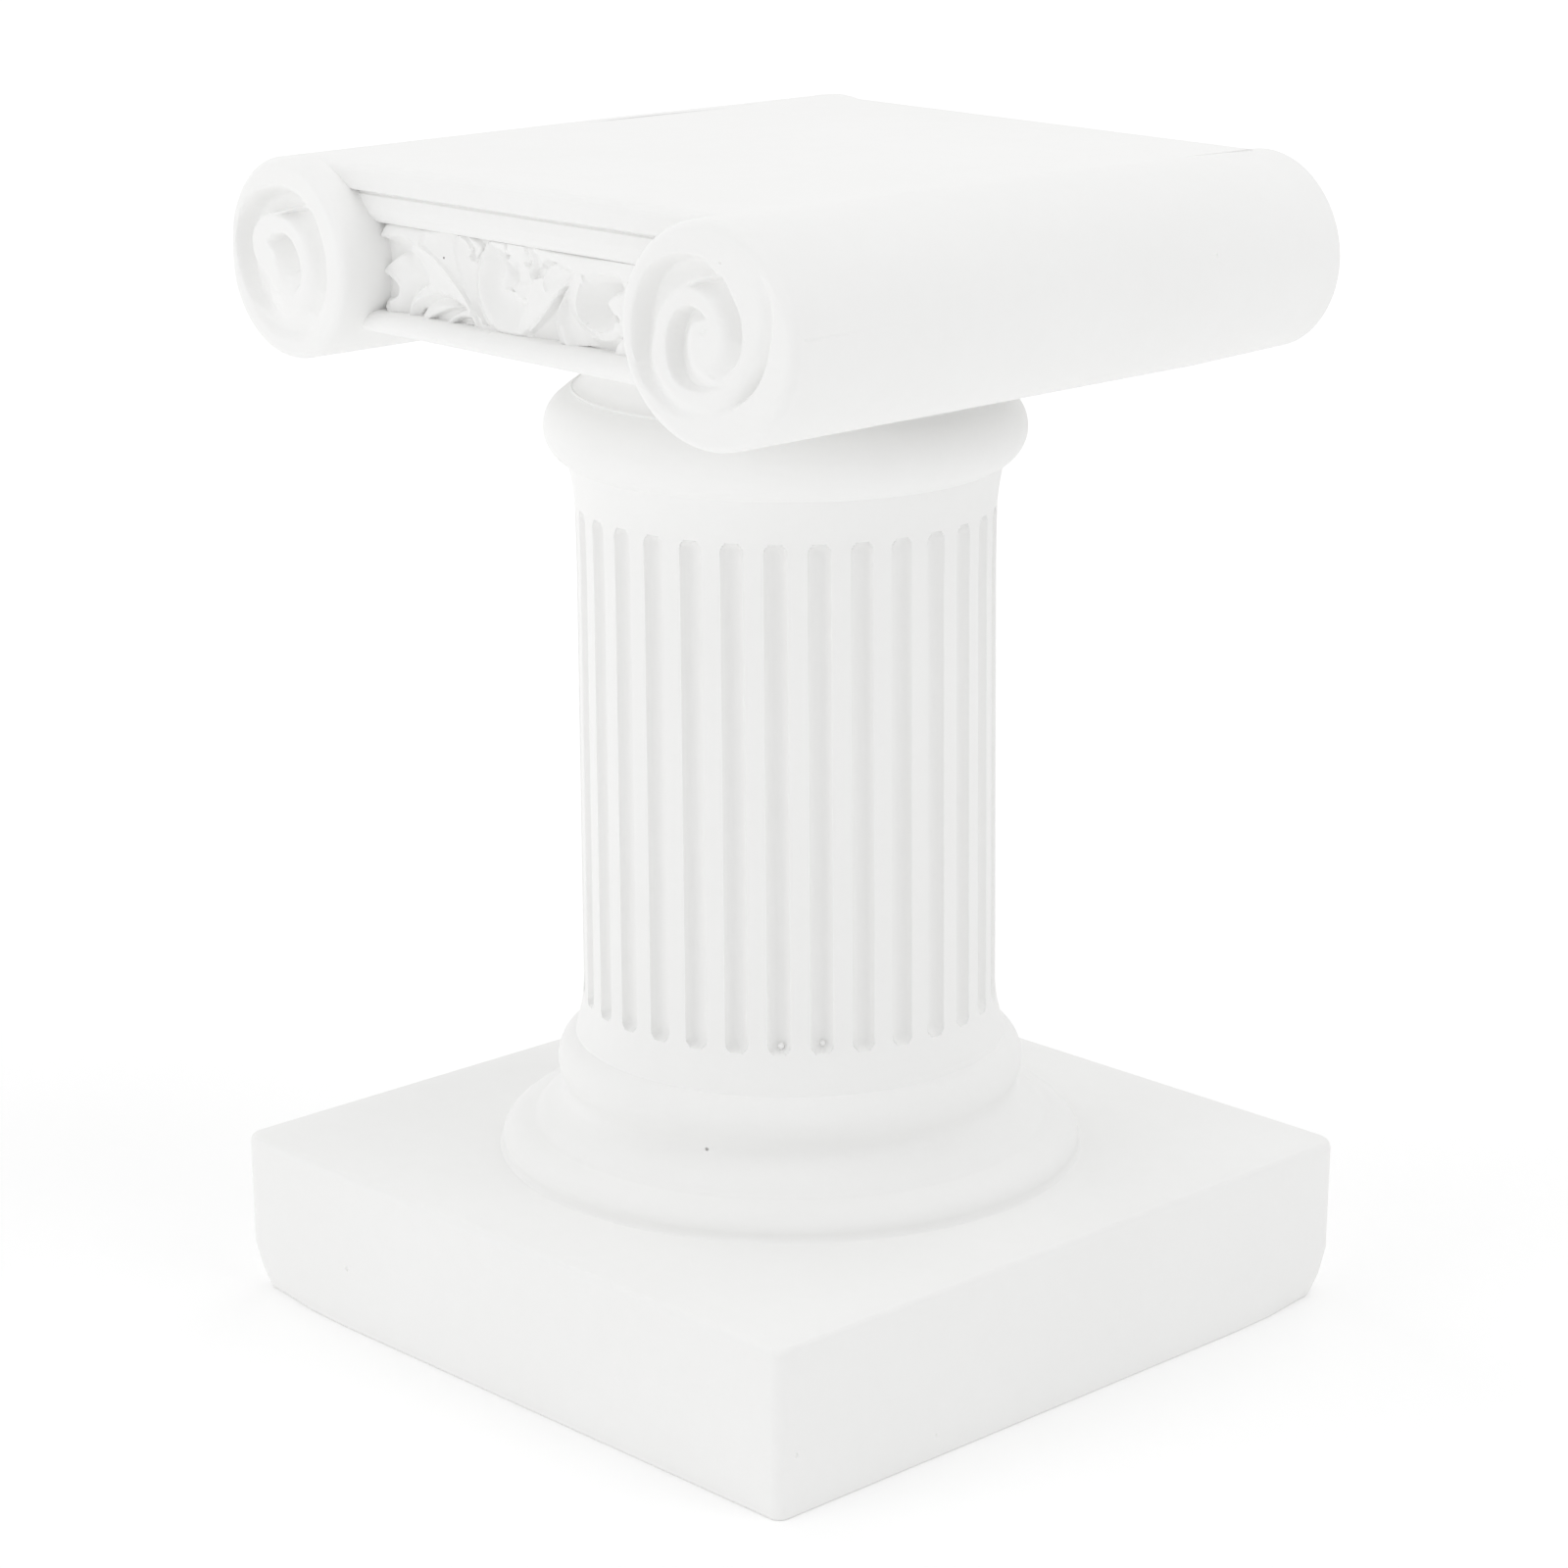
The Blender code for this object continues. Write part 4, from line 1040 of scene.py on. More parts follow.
@dataclass
class Turning:
    """Everything turned on the lathe: base mouldings, fluted shaft and neck."""

    flutes: Flutes = field(default_factory=Flutes)
    round_steps: int = 200
    base_bottom: float = 15.5
    base_top: float = 30.2
    foot_radius: float = 29.9
    lower_middle: float = 17.85
    lower_radii: Point = (6.3, 2.7)
    upper_centre: Point = (21.0, 26.35)
    upper_radii: Point = (3.0, 3.15)
    foot_fillet: Line = ((0.02, 17.4), (0.1, 17.18), (0.3, 17.03), (0.45, 16.9))
    cove: Line = ((23.35, 23.95), (23.6, 22.9), (24.55, 21.85), (25.6, 21.1))
    shaft_middle: float = 60.0
    shaft_flare: Line = (
        (28.0, 22.3), (29.3, 22.15), (29.7, 22.0), (30.2, 21.9), (31.2, 21.65), (32.6, 21.35),
        (34.5, 21.2), (80.0, 21.05), (85.0, 21.15), (87.0, 21.4), (88.2, 21.65), (88.9, 21.8),
        (89.2, 21.85), (91.0, 21.9),
    )
    foot_rows: Row = (28.4, 29.1, 29.4, 29.7, 30.0, 30.4, 30.9, 31.5, 32.2)
    head_rows: Row = (85.9, 86.7, 87.4, 88.0, 88.5, 88.9, 89.3, 90.5)
    neck_bottom: float = 88.4
    neck_centre: Point = (20.3, 92.5)
    neck_radii: Point = (3.87, 3.74)
    neck_flash: Line = (
        (20.1, 97.6), (20.6, 96.75), (21.1, 96.45), (21.3, 96.52), (21.42, 96.4), (21.35, 96.22),
    )
    drum_radius: float = 20.0
    drum_foot: float = 99.0
    drum_top: float = CAPITAL_BOTTOM + 4

    def shaft_radius(self, height: float) -> float:
        """Radius of the plain shaft at a height: straight, and flared at both ends."""
        return float(np.interp(height, *zip(*self.shaft_flare)))

    def base(self) -> bpy.types.Object:
        """Turn the two round mouldings and the hollow between them.

        Returns:
            The closed base.
        """
        lower_centre = (self.foot_radius - self.lower_radii[0], self.lower_middle)
        lower = ellipse(lower_centre, self.lower_radii, 62, -5, 16)
        upper = ellipse(self.upper_centre, self.upper_radii, 70, -28, 16)
        cove = smooth_line((upper[-1], *self.cove, lower[0]), 13)[1:-1]
        edge = lower[-1][0]
        profile = [(0.0, self.base_top), (20.0, self.base_top), (20.6, self.base_top - 0.3)]
        profile += [*upper, *map(tuple, cove), *lower]
        profile += [(edge + out, height) for out, height in self.foot_fillet]
        profile += [(edge, self.base_bottom), (0.0, self.base_bottom)]
        return Bench.turned("base_mouldings", profile, self.round_steps)

    def neck(self) -> bpy.types.Object:
        """Turn the neck moulding, the thin flash ring over it and the drum.

        Returns:
            The closed neck.
        """
        torus = ellipse(self.neck_centre, self.neck_radii, 70, -66, 22)
        profile = [(0.0, self.drum_top)]
        profile += [(self.drum_radius, height) for height in (self.drum_top, self.drum_foot)]
        profile += [*self.neck_flash, *torus, (20.9, self.neck_bottom), (0.0, self.neck_bottom)]
        return Bench.turned("neck_moulding", profile, self.round_steps)

    def shaft(self) -> bpy.types.Object:
        """Turn the shaft with close columns, then press its flutes in.

        Returns:
            The closed fluted shaft.
        """
        rows = [*self.foot_rows, *self.flutes.rows(), *self.head_rows]
        profile = [(0.0, rows[-1])] + [(self.shaft_radius(z), z) for z in reversed(rows)] + [(0.0, rows[0])]
        shares = self.flutes.column_shares(self.shaft_radius(self.shaft_middle))
        steps = self.flutes.count * len(shares)
        piece = Bench.turned("shaft", profile, steps)
        places = Bench.coordinates(piece) / MM
        radius = np.hypot(places[:, 0], places[:, 1])
        column = np.round(np.arctan2(places[:, 1], places[:, 0]) / math.tau * steps).astype(int) % steps
        pitch = math.tau / self.flutes.count
        share = np.array(shares)[column % len(shares)]
        angle = (column // len(shares) + share) * pitch + math.radians(self.flutes.turn)
        angle -= self.flutes.crowding * np.sin(angle - math.radians(self.flutes.crowded_at))
        across = np.minimum(share, 1 - share) * pitch * radius
        sunk = np.where(radius > 1, radius - self.flutes.hollow(across, places[:, 2]), radius)
        places[:, 0] = sunk * np.cos(angle)
        places[:, 1] = sunk * np.sin(angle)
        Bench.move(piece, places * MM)
        return piece


@dataclass
class Block:
    """Slab and straight mouldings between the two rolls."""

    bottom: float = CAPITAL_BOTTOM
    top: float = 119.98
    slab_face: float = 35.8
    slab_rounding: float = 1.15
    edge_strip: float = 4.0
    bead_middle: float = 104.27
    bead_inset: float = 1.0
    bead_radii: Point = (1.35, 1.17)
    ground: float = 32.3
    panel: Point = (105.44, 113.9)
    upper_moulding: Line = (
        (33.9, 113.9), (34.4, 114.05), (34.85, 114.45), (35.1, 115.0), (35.2, 115.7), (35.15, 116.4),
        (35.12, 116.75), (34.85, 116.9), (34.85, 117.05),
    )
    slab_foot: Line = ((-0.4, 117.15), (-0.05, 117.3), (0.0, 117.5))
    reach: float = 30.1

    def half_outline(self) -> list[Point]:
        """Half section of the block.

        Returns:
            Points (y, z) from the middle of the underside to the middle of the top.
        """
        face, rounding = self.slab_face, self.slab_rounding
        outline = [(0.0, self.bottom)]
        outline += ellipse((face - self.bead_inset, self.bead_middle), self.bead_radii, -90, 90, 11)
        outline += [(self.ground, height) for height in self.panel]
        outline += self.upper_moulding
        outline += [(face + out, height) for out, height in self.slab_foot]
        outline += ellipse((face - rounding, self.top - rounding), (rounding, rounding), 0, 90, 7)
        outline += [(face - self.edge_strip, self.top), (0.0, self.top)]
        return outline

    def build(self) -> bpy.types.Object:
        """Draw the whole section, fill it and pull it along X.

        Returns:
            The closed block.
        """
        half = self.half_outline()
        loop = [(-y, z) for y, z in half[:-1]] + [(y, z) for y, z in reversed(half[1:])]
        start = -self.reach * MM
        piece = Bench.line("capital_block", [Vector((start, y * MM, z * MM)) for y, z in loop])
        Bench.edit(piece)
        bpy.ops.mesh.edge_face_add()
        bpy.ops.mesh.extrude_region_move(TRANSFORM_OT_translate={"value": (2 * self.reach * MM, 0, 0)})
        Bench.close(piece)
        return piece


@dataclass
class Frieze:
    """Carved panel between the rolls, one at the front and the same turned round at the back."""

    carving: Carving = ACANTHUS
    ground: float = Block.ground
    half_length: float = 21.2
    low: float = 104.7
    high: float = 114.3
    cell: float = 0.4
    tolerance: float = 0.04
    backing: float = 1.2

    def pose(self, face: Face) -> Pose:
        """Give the function that stands the flat carving up at one end of the column.

        Args:
            face: Front or back.

        Returns:
            A function of flat places and their heights.
        """

        def stand(flat: np.ndarray, heights: np.ndarray) -> np.ndarray:
            """Places in metres for rows (across, up) and their heights."""
            out = -face.value * flat[:, 0]
            return np.stack([out, face.value * (self.ground + heights), flat[:, 1]], 1) * MM

        return stand

    def build(self, face: Face) -> bpy.types.Object:
        """Model one panel: a fine grid, refined, raised and closed behind.

        Args:
            face: Front or back.

        Returns:
            The closed panel.
        """
        Bench.start()
        columns = round(2 * self.half_length / self.cell)
        rows = round((self.high - self.low) / self.cell)
        bpy.ops.mesh.primitive_grid_add(x_subdivisions=columns, y_subdivisions=rows, size=2)
        piece = bpy.context.active_object
        piece.name = f"frieze_{face.name.lower()}"
        flat = Bench.coordinates(piece)
        flat[:, 0] *= self.half_length
        flat[:, 1] = self.low + (flat[:, 1] + 1) / 2 * (self.high - self.low)
        Bench.move(piece, flat)
        surface = Field(piece, self.carving.heights, self.pose(face))
        surface.refine(self.tolerance)
        surface.raise_up()
        Bench.edit(piece)
        bpy.ops.mesh.select_all(action="DESELECT")
        bpy.ops.mesh.select_non_manifold()
        back = face.value * (self.ground - self.backing) * MM
        bpy.ops.mesh.extrude_region_move()
        bpy.ops.transform.resize(value=(1, 0, 1), center_override=(0, back, 0))
        bpy.ops.mesh.edge_face_add()
        Bench.close(piece)
        return piece


@dataclass
class Roll:
    """One roll of the capital with a volute carved on each end."""

    side: Side
    radius: float = 10.4
    spacing: float = 2 * Block.reach
    length: float = 77.2
    middle: float = CAPITAL_MIDDLE
    rounding: float = 1.0
    rim_points: int = 7
    rim_slack: float = 0.001
    splay: float = 5.3
    cells: int = 48
    tolerance: float = 0.035
    stations: Row = (-22.0, -7.0, 8.0, 23.0)
    far_wear: float = 0.8
    wear_from: float = 32.0
    wear_run: float = 6.6

    def face_radius(self) -> float:
        """Radius of the flat end inside its rounded rim."""
        return self.radius - self.rounding

    def pose(self, face: Face) -> Pose:
        """Give the function that stands a flat disc up at one end of the roll.

        Args:
            face: Front or back.

        Returns:
            A function of flat places and their heights.
        """

        def stand(flat: np.ndarray, heights: np.ndarray) -> np.ndarray:
            """Places in metres for rows (across, up) and their heights."""
            x = self.side.value * (self.spacing / 2 + flat[:, 0])
            y = face.value * (self.length / 2 + heights)
            return np.stack([x, y, self.middle + flat[:, 1]], 1) * MM

        return stand

    def carving(self, face: Face) -> Carving:
        """The volute on one end: the back repeats the front, turned round."""
        right = (self.side.value * -face.value) > 0
        return RIGHT_VOLUTE if right else LEFT_VOLUTE

    def disc(self, face: Face) -> bpy.types.Object:
        """Model one end: a square grid drawn into a disc, refined and carved.

        Args:
            face: Front or back.

        Returns:
            The open carved disc.
        """
        Bench.start()
        bpy.ops.mesh.primitive_grid_add(x_subdivisions=self.cells, y_subdivisions=self.cells, size=2)
        piece = bpy.context.active_object
        piece.name = f"volute_{self.side.name.lower()}_{face.name.lower()}"
        square = Bench.coordinates(piece)
        a, b = square[:, 0], square[:, 1]
        wide = np.abs(a) > np.abs(b)
        reach = np.where(wide, a, b)
        other = np.where(wide, b, a)
        off_middle = np.abs(reach) > 1e-9
        turn = np.where(off_middle, other / np.where(off_middle, reach, 1), 0) * math.pi / 4
        angle = np.where(wide, turn, math.pi / 2 - turn)
        square[:, 0] = reach * np.cos(angle) * self.face_radius()
        square[:, 1] = reach * np.sin(angle) * self.face_radius()
        Bench.move(piece, square)
        surface = Field(piece, self.carving(face).heights, self.pose(face))
        surface.refine(self.tolerance)
        surface.raise_up()
        return piece

    def build(self) -> bpy.types.Object:
        """Model the roll: pull the rim of the front disc to the back disc and join them.

        Returns:
            The closed roll.
        """
        front = self.disc(Face.FRONT)
        back = self.disc(Face.BACK)
        self.pull_rim(front)
        Bench.take(front)
        back.select_set(True)
        bpy.ops.object.join()
        front.name = f"roll_{self.side.name.lower()}"
        places = Bench.coordinates(front) / MM
        across = self.side.value * places[:, 0] - self.spacing / 2
        places[:, 1] *= 1 - across * math.tan(math.radians(self.splay)) / (self.length / 2)
        Bench.move(front, places * MM)
        self.wear(front)
        Bench.edit(front)
        bpy.ops.mesh.remove_doubles(threshold=SEAM)
        Bench.close(front)
        return front

    def wear(self, piece: bpy.types.Object) -> None:
        """Rub the far rim down on its outer side.

        Args:
            piece: The roll.
        """
        places = Bench.coordinates(piece) / MM
        centre = np.array([self.side.value * self.spacing / 2, self.middle])
        spoke = places[:, (0, 2)] - centre
        outer = 0.5 + 0.5 * self.side.value * spoke[:, 0] / self.radius
        far = np.clip((places[:, 1] - self.wear_from) / self.wear_run, 0, 1) ** 2
        rubbed = self.far_wear * far * outer
        spoke *= (1 - rubbed / self.radius)[:, None]
        places[:, (0, 2)] = centre + spoke
        Bench.move(piece, places * MM)

    def pull_rim(self, piece: bpy.types.Object) -> None:
        """Pull the rim ring by ring over the rounded edge, along the roll and in again.

        Args:
            piece: The open front disc.
        """
        edge = self.face_radius() - self.rim_slack
        centre = Vector((self.side.value * self.spacing / 2 * MM, 0, self.middle * MM))

        def on_rim(place: Vector) -> bool:
            """Whether a place lies on the disc's rim."""
            return math.hypot(place.x - centre.x, place.z - centre.z) > edge * MM

        Bench.choose(piece, on_rim)
        arc = ellipse((self.face_radius(), 0.0), (self.rounding, self.rounding), 90, 0, self.rim_points)
        rings = [(radius, -self.length / 2 + self.rounding - rise) for radius, rise in arc]
        rings += [(self.radius, place) for place in self.stations]
        rings += [(radius, self.length / 2 - self.rounding + rise) for radius, rise in reversed(arc)]
        for (inner, before), (outer, after) in zip(rings, rings[1:]):
            shift = {"value": (0, (after - before) * MM, 0)}
            bpy.ops.mesh.extrude_region_move(TRANSFORM_OT_translate=shift)
            ratio = outer / inner
            bpy.ops.transform.resize(value=(ratio, 1, ratio), center_override=centre)
        bpy.ops.object.mode_set(mode="OBJECT")


@dataclass(frozen=True)
class Flaws:
    """Air pits and beads that the mould left on the casting, as (x, y, z, radius)."""

    pits: tuple[Spot, ...] = (
        (39.95, 17.8, 111.8, 0.30), (40.2, -36.8, 110.3, 0.26), (9.9, -21.0, 23.7, 0.26),
        (-23.6, -40.6, 6.6, 0.30), (40.6, -38.3, 6.2, 0.28), (40.6, -19.7, 2.4, 0.22),
        (31.6, -39.0, 116.4, 0.22), (-10.5, -36.6, 104.0, 0.20), (-3.9, -35.6, 105.5, 0.22),
        (-11.5, -34.5, 111.5, 0.18), (-30.2, 40.6, 9.1, 0.26), (12.4, 40.6, 4.2, 0.22),
        (-40.6, 9.5, 12.3, 0.26), (-40.3, 12.0, 108.2, 0.24), (-8.0, 36.5, 104.1, 0.20),
    )
    beads: tuple[Spot, ...] = (
        (14.0, -14.8, 34.0, 0.34), (16.6, -11.6, 34.2, 0.30), (-7.4, -34.5, 112.8, 0.20),
        (0.7, -35.2, 117.0, 0.22), (9.1, -33.9, 112.0, 0.16), (14.7, -33.9, 105.6, 0.24),
        (13.4, -33.9, 105.6, 0.18),
    )

    def balls(self, name: str, spots: Sequence[Spot]) -> bpy.types.Object:
        """Model small balls at the given spots as one object.

        Args:
            name: Name of the object.
            spots: Centre and radius of each ball in millimetres.

        Returns:
            The joined balls.
        """
        made = []
        for *centre, radius in spots:
            Bench.start()
            bpy.ops.mesh.primitive_ico_sphere_add(
                subdivisions=2, radius=radius * MM, location=[value * MM for value in centre])
            made.append(bpy.context.active_object)
        for ball in made:
            ball.select_set(True)
        bpy.ops.object.join()
        joined = bpy.context.active_object
        joined.name = name
        Bench.place(joined)
        return joined

    def mark(self, piece: bpy.types.Object) -> None:
        """Set the beads on a piece and take the pits out of it."""
        Bench.unite(piece, self.balls("beads", self.beads))
        Bench.unite(piece, self.balls("pits", self.pits), Fit.CUT)


@dataclass(frozen=True)
class Ramp:
    """A smooth rise from 0 to 1 over a run of one coordinate; a negative run goes the other way."""

    start: float
    run: float

    def at(self, values: np.ndarray) -> np.ndarray:
        """Share of the rise at each value."""
        return eased((values - self.start) / self.run)


@dataclass
class Casting:
    """The whole column, joined to one closed body as it came out of its mould.

    The top leans by a share of its height over the plinth, away from the direction at lean_angle,
    in degrees from the right side towards the back. Its back and left edges have sunk, each over
    a ramp along x and one along y, and the left roll's underside has risen.
    """

    lean: float = 0.0066
    lean_from: float = Plinth.height
    lean_angle: float = 46.16
    widest: float = Plinth.width / 2
    widest_from: float = Plinth.height + 3
    ease: float = 1.0
    back_sag: float = 0.55
    back_ramps: tuple[Ramp, Ramp] = (Ramp(-40, 18), Ramp(5, 28))
    left_sag: float = 0.36
    left_ramps: tuple[Ramp, Ramp] = (Ramp(-15, -15), Ramp(38, -18))
    sag_ramp: Ramp = Ramp(104, 14)
    belly_rise: float = 0.75
    belly_ramp: Ramp = Ramp(-19, -4)
    belly_from: float = 90.0
    sharp_angle: float = 38.0
    name: str = "roman_column_casting"

    def build(self) -> bpy.types.Object:
        """Join the sub-assemblies, lean the column and smooth it.

        Returns:
            The finished piece.
        """
        turning = Turning()
        base = Plinth().build()
        parts = [turning.base(), turning.shaft(), turning.neck(), Block().build()]
        parts += [Roll(side).build() for side in Side]
        parts += [Frieze().build(face) for face in Face]
        for part in parts:
            LOG.info("joining %s with %d faces", part.name, len(part.data.polygons))
            Bench.unite(base, part)
        base.name = self.name
        base.data.name = self.name
        Bench.close(base)
        self.settle(base)
        Flaws().mark(base)
        Bench.close(base)
        Bench.take(base)
        bpy.ops.object.shade_smooth_by_angle(angle=math.radians(self.sharp_angle))
        return base

    def sunk(self, places: np.ndarray) -> np.ndarray:
        """How far the back and left edges of the top have sunk, and the left roll's underside risen.

        Args:
            places: Rows (x, y, z) in millimetres.

        Returns:
            One drop in millimetres for each place.
        """
        x, y, z = places.T
        back = self.back_ramps[0].at(x) * self.back_ramps[1].at(y)
        left = self.left_ramps[0].at(x) * self.left_ramps[1].at(y)
        under = np.clip((Roll.middle - z) / Roll.radius, 0, 1) ** 2
        belly = self.belly_ramp.at(x) * under * (z > self.belly_from)
        sag = (self.back_sag * back + self.left_sag * left) * self.sag_ramp.at(z)
        return sag - self.belly_rise * belly

    def settle(self, piece: bpy.types.Object) -> None:
        """Sink the edges, lean all over the plinth, and keep it inside the column's own width.

        Args:
            piece: The joined casting.
        """
        places = Bench.coordinates(piece) / MM
        places[:, 2] -= self.sunk(places)
        shift = -self.lean * np.maximum(places[:, 2] - self.lean_from, 0)
        places[:, 0] += shift * math.cos(math.radians(self.lean_angle))
        places[:, 1] += shift * math.sin(math.radians(self.lean_angle))
        high = places[:, 2] > self.widest_from
        outer = places[high, :2]
        over = np.maximum(np.abs(outer) - (self.widest - self.ease), 0)
        places[high, :2] = np.sign(outer) * (np.abs(outer) - over + self.ease * np.tanh(over / self.ease))
        Bench.move(piece, places * MM)


class Shade:
    """Wraps a socket, so that shader maths reads as plain expressions."""

    def __init__(self, nodes: "Nodes", socket: Any) -> None:
        """Keep the node tree's helper and the socket or number."""
        self.nodes = nodes
        self.socket = socket

    def combine(self, operation: str, first: Any, second: Any) -> "Shade":
        """Add one Math node.

        Args:
            operation: What the node does.
            first: Left side, a wrapped socket or a number.
            second: Right side, a wrapped socket or a number.

        Returns:
            The wrapped result.
        """
        values = {0: first, 1: second}
        node = self.nodes.add("ShaderNodeMath", {"operation": operation}, values)
        return Shade(self.nodes, node.outputs[0])

    def __add__(self, other: Any) -> "Shade":
        """Sum."""
        return self.combine("ADD", self, other)

    def __radd__(self, other: Any) -> "Shade":
        """Sum with a plain number first."""
        return self.combine("ADD", other, self)

    def __sub__(self, other: Any) -> "Shade":
        """Difference."""
        return self.combine("SUBTRACT", self, other)

    def __rsub__(self, other: Any) -> "Shade":
        """Difference from a plain number."""
        return self.combine("SUBTRACT", other, self)

    def __mul__(self, other: Any) -> "Shade":
        """Product."""
        return self.combine("MULTIPLY", self, other)

    def __rmul__(self, other: Any) -> "Shade":
        """Product with a plain number first."""
        return self.combine("MULTIPLY", other, self)


class Nodes:
    """Adds nodes to one material."""

    def __init__(self, material: bpy.types.Material) -> None:
        """Keep the material's node tree."""
        self.tree = material.node_tree

    def add(self, kind: str, settings: dict[str, Any], inputs: dict[Any, Any]) -> bpy.types.Node:
        """Add one node.

        Args:
            kind: The node's type.
            settings: Properties, which are set first.
            inputs: Values or links for its sockets, by name or number.

        Returns:
            The new node.
        """
        node = self.tree.nodes.new(kind)
        for key, value in settings.items():
            setattr(node, key, value)
        for key, value in inputs.items():
            value = value.socket if isinstance(value, Shade) else value
            if isinstance(value, bpy.types.NodeSocket):
                self.tree.links.new(value, node.inputs[key])
            else:
                node.inputs[key].default_value = value
        return node

    def noise(self, place: Any, layer: "Mottle") -> Shade:
        """A noise value from 0 to 1 for one layer of unevenness.

        Args:
            place: The socket with the coordinates.
            layer: Scale, detail and roughness of the noise.

        Returns:
            The wrapped value.
        """
        values = {
            "Vector": place, "Scale": layer.scale, "Detail": layer.detail, "Roughness": layer.roughness}
        return Shade(self, self.add("ShaderNodeTexNoise", {}, values).outputs["Fac"])

    def mix(self, share: Any, first: Colour, second: Colour) -> bpy.types.NodeSocket:
        """The colour that lies a share of the way from one colour to another."""
        values = {0: share, 6: first, 7: second}
        return self.add("ShaderNodeMix", {"data_type": "RGBA"}, values).outputs[2]


@dataclass(frozen=True)
class Mottle:
    """One layer of the plaster's unevenness, at a scale in repeats a metre.

    Tint and relief are its shares in the shadow colour and in the bumps.
    """

    scale: float
    detail: float = 4.0
    roughness: float = 0.6
    tint: float = 0.0
    relief: float = 0.0


@dataclass(frozen=True)
class Plaster:
    """White cast plaster: chalky and finely grained, with faint grey clouds.

    It is mottled by wide clouds, pores of a few millimetres and fine grains.
    """

    colour: Colour = (0.925, 0.925, 0.918, 1.0)
    shadow: Colour = (0.895, 0.894, 0.884, 1.0)
    shadow_range: Point = (0.38, 0.62)
    shadow_most: float = 0.45
    clouds: Mottle = Mottle(45.0, roughness=0.5, tint=0.5)
    grains: Mottle = Mottle(2600.0, detail=3.0, tint=0.2, relief=0.5)
    pores: Mottle = Mottle(420.0, tint=0.3, relief=0.9)
    roughness: float = 0.82
    roughness_spread: float = 0.16
    bump: float = 0.5
    relief: float = 0.000035

    def material(self) -> bpy.types.Material:
        """Build the material.

        Returns:
            A procedural material on Object coordinates.
        """
        material = bpy.data.materials.new("cast_plaster")
        material.use_nodes = True
        nodes = Nodes(material)
        shader = material.node_tree.nodes["Principled BSDF"]
        place = nodes.add("ShaderNodeTexCoord", {}, {}).outputs["Object"]
        cloud, grain, pore = (nodes.noise(place, layer) for layer in (self.clouds, self.grains, self.pores))
        share = cloud * self.clouds.tint + pore * self.pores.tint + grain * self.grains.tint
        least, most = self.shadow_range
        limits = {0: share, 1: least, 2: most, 3: 0.0, 4: self.shadow_most}
        shadow = nodes.add("ShaderNodeMapRange", {}, limits).outputs[0]
        tint = nodes.mix(shadow, self.colour, self.shadow)
        material.node_tree.links.new(tint, shader.inputs["Base Color"])
        rough = self.roughness - self.roughness_spread / 2 + pore * self.roughness_spread
        material.node_tree.links.new(rough.socket, shader.inputs["Roughness"])
        height = grain * self.grains.relief + pore * self.pores.relief
        relief = {"Strength": self.bump, "Distance": self.relief, "Height": height}
        bump = nodes.add("ShaderNodeBump", {}, relief)
        material.node_tree.links.new(bump.outputs[0], shader.inputs["Normal"])
        return material


def outward(azimuth: float, elevation: float) -> Vector:
    """The direction at an angle round the column from its front, and an angle up.

    Args:
        azimuth: Angle from the front towards the right, in radians.
        elevation: Angle over the floor, in radians.

    Returns:
        A vector of length 1.
    """
    level = math.cos(elevation)
    return Vector((math.sin(azimuth) * level, -math.cos(azimuth) * level, math.sin(elevation)))


@dataclass(frozen=True)
class Softbox:
    """A large soft square light that looks at the column's middle.

    Angles are in degrees and lengths in metres.
    """

    name: str
    azimuth: float
    elevation: float
    watts: float
    size: float = 0.7
    distance: float = 1.1
    aim_height: float = 0.06

    def hang(self) -> None:
        """Add the light to the scene."""
        light = bpy.data.lights.new(self.name, "AREA")
        light.shape = "SQUARE"
        light.size = self.size
        light.energy = self.watts
        holder = bpy.data.objects.new(self.name, light)
        bpy.context.scene.collection.objects.link(holder)
        out = outward(math.radians(self.azimuth), math.radians(self.elevation))
        holder.location = out * self.distance + Vector((0, 0, self.aim_height))
        holder.rotation_euler = out.to_track_quat("Z", "Y").to_euler()


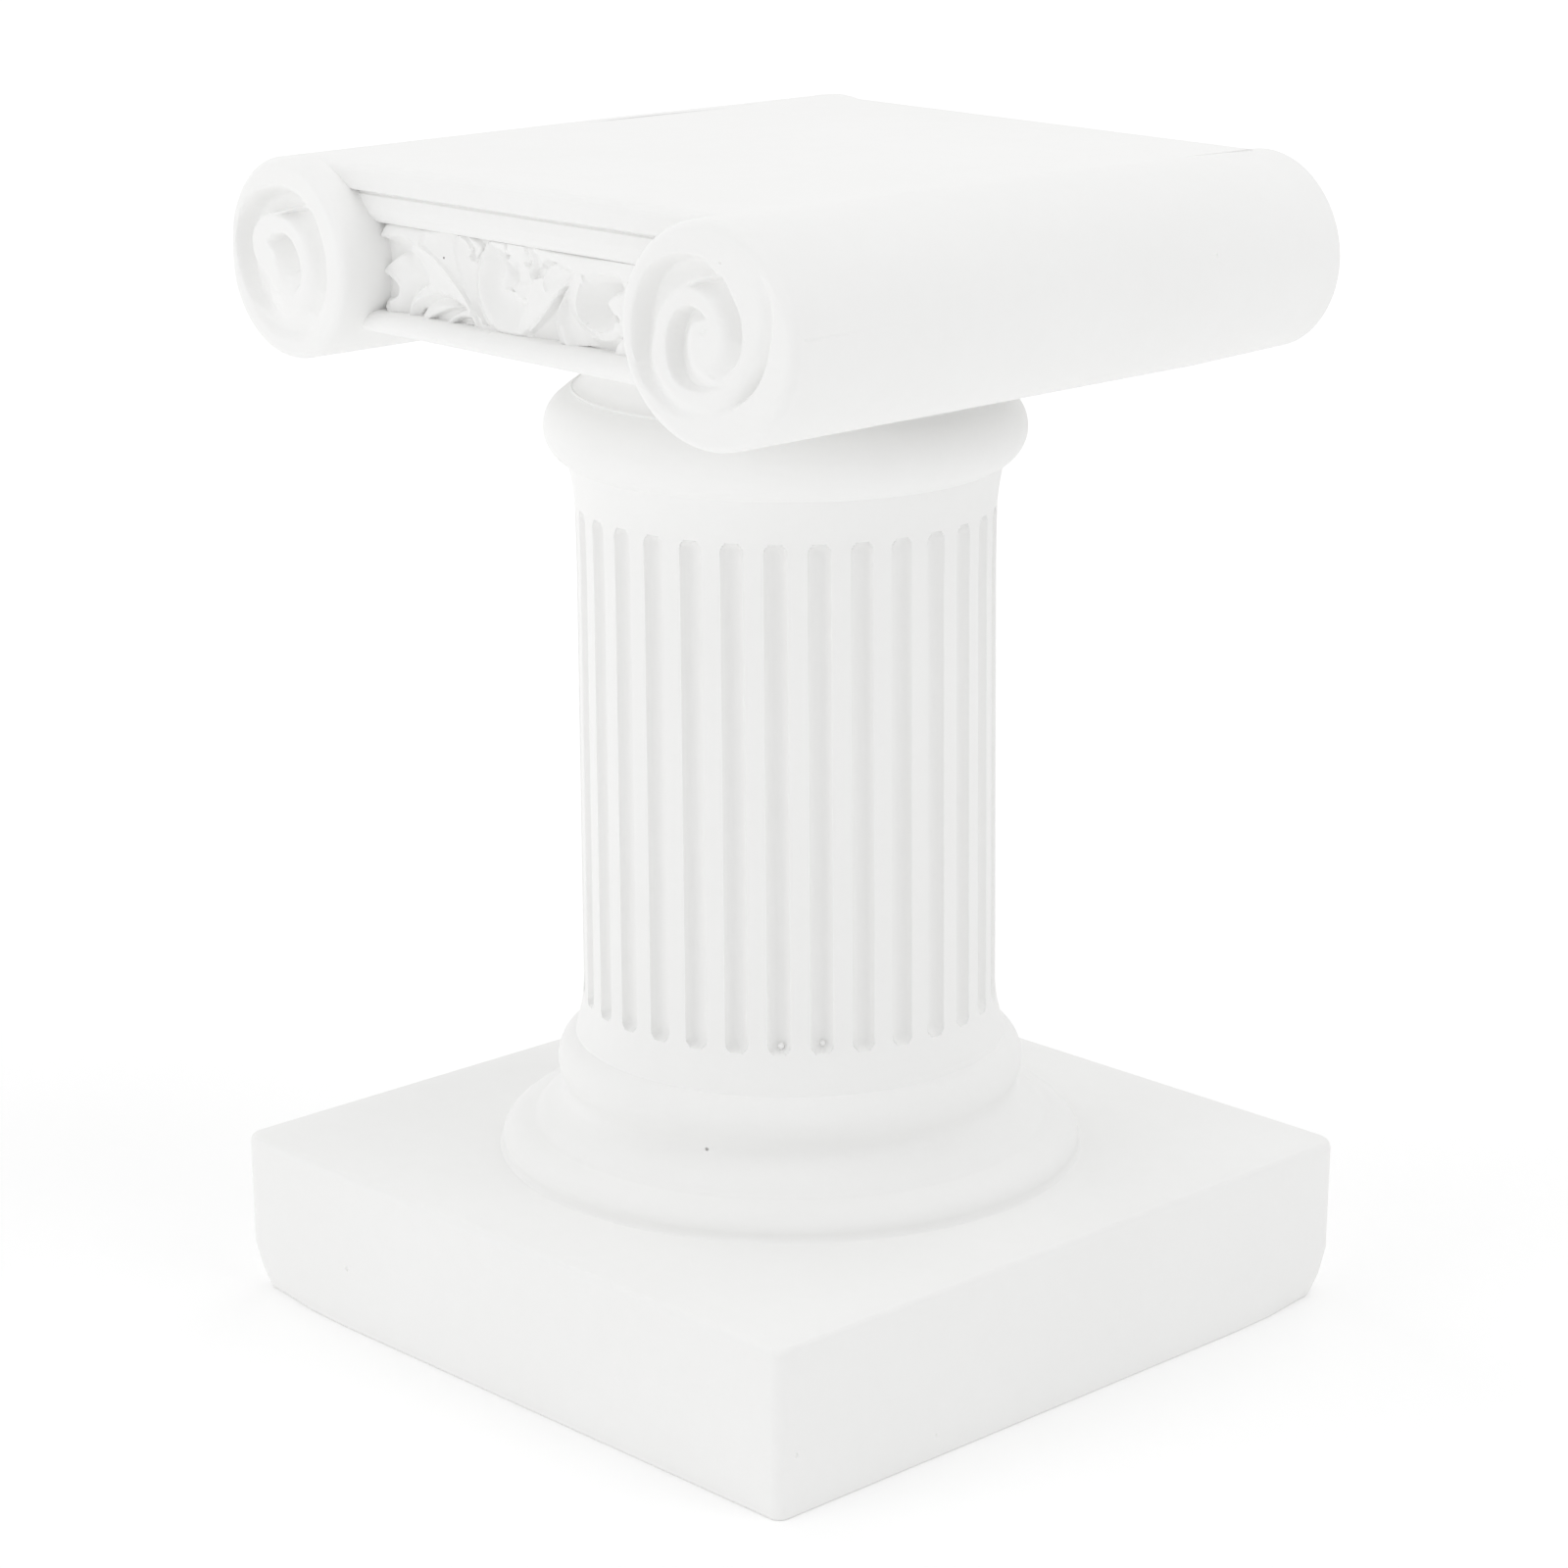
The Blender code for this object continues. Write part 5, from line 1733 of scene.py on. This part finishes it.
@dataclass
class Studio:
    """Camera, floor and soft light: lengths in millimetres, angles in degrees."""

    azimuth: float = 46.158
    elevation: float = 15.788
    distance: float = 445.38
    shift_right: float = -0.672
    look_height: float = 55.13
    roll: float = -0.0516
    lens: float = 100.30
    sensor: float = 36.0
    nearest: float = 10.0
    floor_size: float = 3000.0
    floor_colour: Colour = (0.97, 0.97, 0.97, 1.0)
    floor_roughness: float = 0.9
    # Painted light: the floor's glow near the plinth and far out, and the distances over which it changes
    floor_glow: Point = (0.075, 0.398)
    glow_range: Point = (250.0, 1450.0)
    tent_strength: float = 0.651
    softboxes: tuple[Softbox, ...] = (
        Softbox("left_softbox", -90.0, 15.0, 1.59),
        Softbox("front_softbox", -15.0, 15.0, 1.33),
        Softbox("high_front_softbox", -30.0, 55.0, 0.78),
        Softbox("high_right_softbox", 110.0, 50.0, 1.9),
        Softbox("back_softbox", 200.0, 35.0, 0.98),
        Softbox("top_softbox", 45.0, 89.0, 1.24),
    )

    def camera(self) -> None:
        """Stand the camera where the photograph was taken from."""
        azimuth, elevation, roll = map(math.radians, (self.azimuth, self.elevation, self.roll))
        back = outward(azimuth, elevation)
        right = Vector((math.cos(azimuth), math.sin(azimuth), 0.0))
        up = back.cross(right)
        across = right * math.cos(roll) + up * math.sin(roll)
        upwards = up * math.cos(roll) - right * math.sin(roll)
        target = right * self.shift_right + Vector((0, 0, self.look_height))
        data = bpy.data.cameras.new("camera")
        data.lens = self.lens
        data.sensor_width = self.sensor
        data.clip_start = self.nearest * MM
        camera = bpy.data.objects.new("camera", data)
        bpy.context.scene.collection.objects.link(camera)
        turn = Matrix((across, upwards, back)).transposed().to_4x4()
        camera.matrix_world = Matrix.Translation((target + back * self.distance) * MM) @ turn
        bpy.context.scene.camera = camera

    def floor(self) -> None:
        """Lay a plain pale floor under the plinth, which glows as painted light, a little more further out.
        """
        Bench.start()
        bpy.ops.mesh.primitive_plane_add(size=self.floor_size * MM, location=(0, 0, 0))
        floor = bpy.context.active_object
        floor.name = "floor"
        material = bpy.data.materials.new("pale_glowing_floor")
        material.use_nodes = True
        nodes = Nodes(material)
        shader = material.node_tree.nodes["Principled BSDF"]
        shader.inputs["Base Color"].default_value = self.floor_colour
        shader.inputs["Roughness"].default_value = self.floor_roughness
        # Painted light: the glow lifts the shadow round the plinth and lights the column from below
        shader.inputs["Emission Strength"].default_value = 1.0
        place = nodes.add("ShaderNodeTexCoord", {}, {}).outputs["Object"]
        distance = nodes.add("ShaderNodeVectorMath", {"operation": "LENGTH"}, {0: place}).outputs["Value"]
        start, stop = (limit * MM for limit in self.glow_range)
        spread = nodes.add("ShaderNodeMapRange", {}, {0: distance, 1: start, 2: stop}).outputs[0]
        near, far = ((glow, glow, glow, 1.0) for glow in self.floor_glow)
        glow = nodes.mix(spread, near, far)
        material.node_tree.links.new(glow, shader.inputs["Emission Color"])
        floor.data.materials.append(material)

    def light(self) -> None:
        """Light the column evenly from a white tent and from the soft boxes round it."""
        world = bpy.data.worlds.new("tent")
        world.use_nodes = True
        sky = world.node_tree.nodes["Background"]
        sky.inputs[0].default_value = (1.0, 1.0, 1.0, 1.0)
        sky.inputs[1].default_value = self.tent_strength
        bpy.context.scene.world = world
        for softbox in self.softboxes:
            softbox.hang()
        bpy.context.scene.view_settings.view_transform = "Standard"

    def build(self) -> None:
        """Set the whole studio up."""
        self.camera()
        self.floor()
        self.light()


def main() -> None:
    """Build the column and its studio."""
    logging.basicConfig(level=logging.INFO, format="%(message)s")
    casting = Casting().build()
    casting.data.materials.clear()
    casting.data.materials.append(Plaster().material())
    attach(casting, "root")
    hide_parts("roman_column")
    casting.data.calc_loop_triangles()
    LOG.info("%s: %d triangles", casting.name, len(casting.data.loop_triangles))
    Studio().build()


if __name__ == "__main__":
    main()
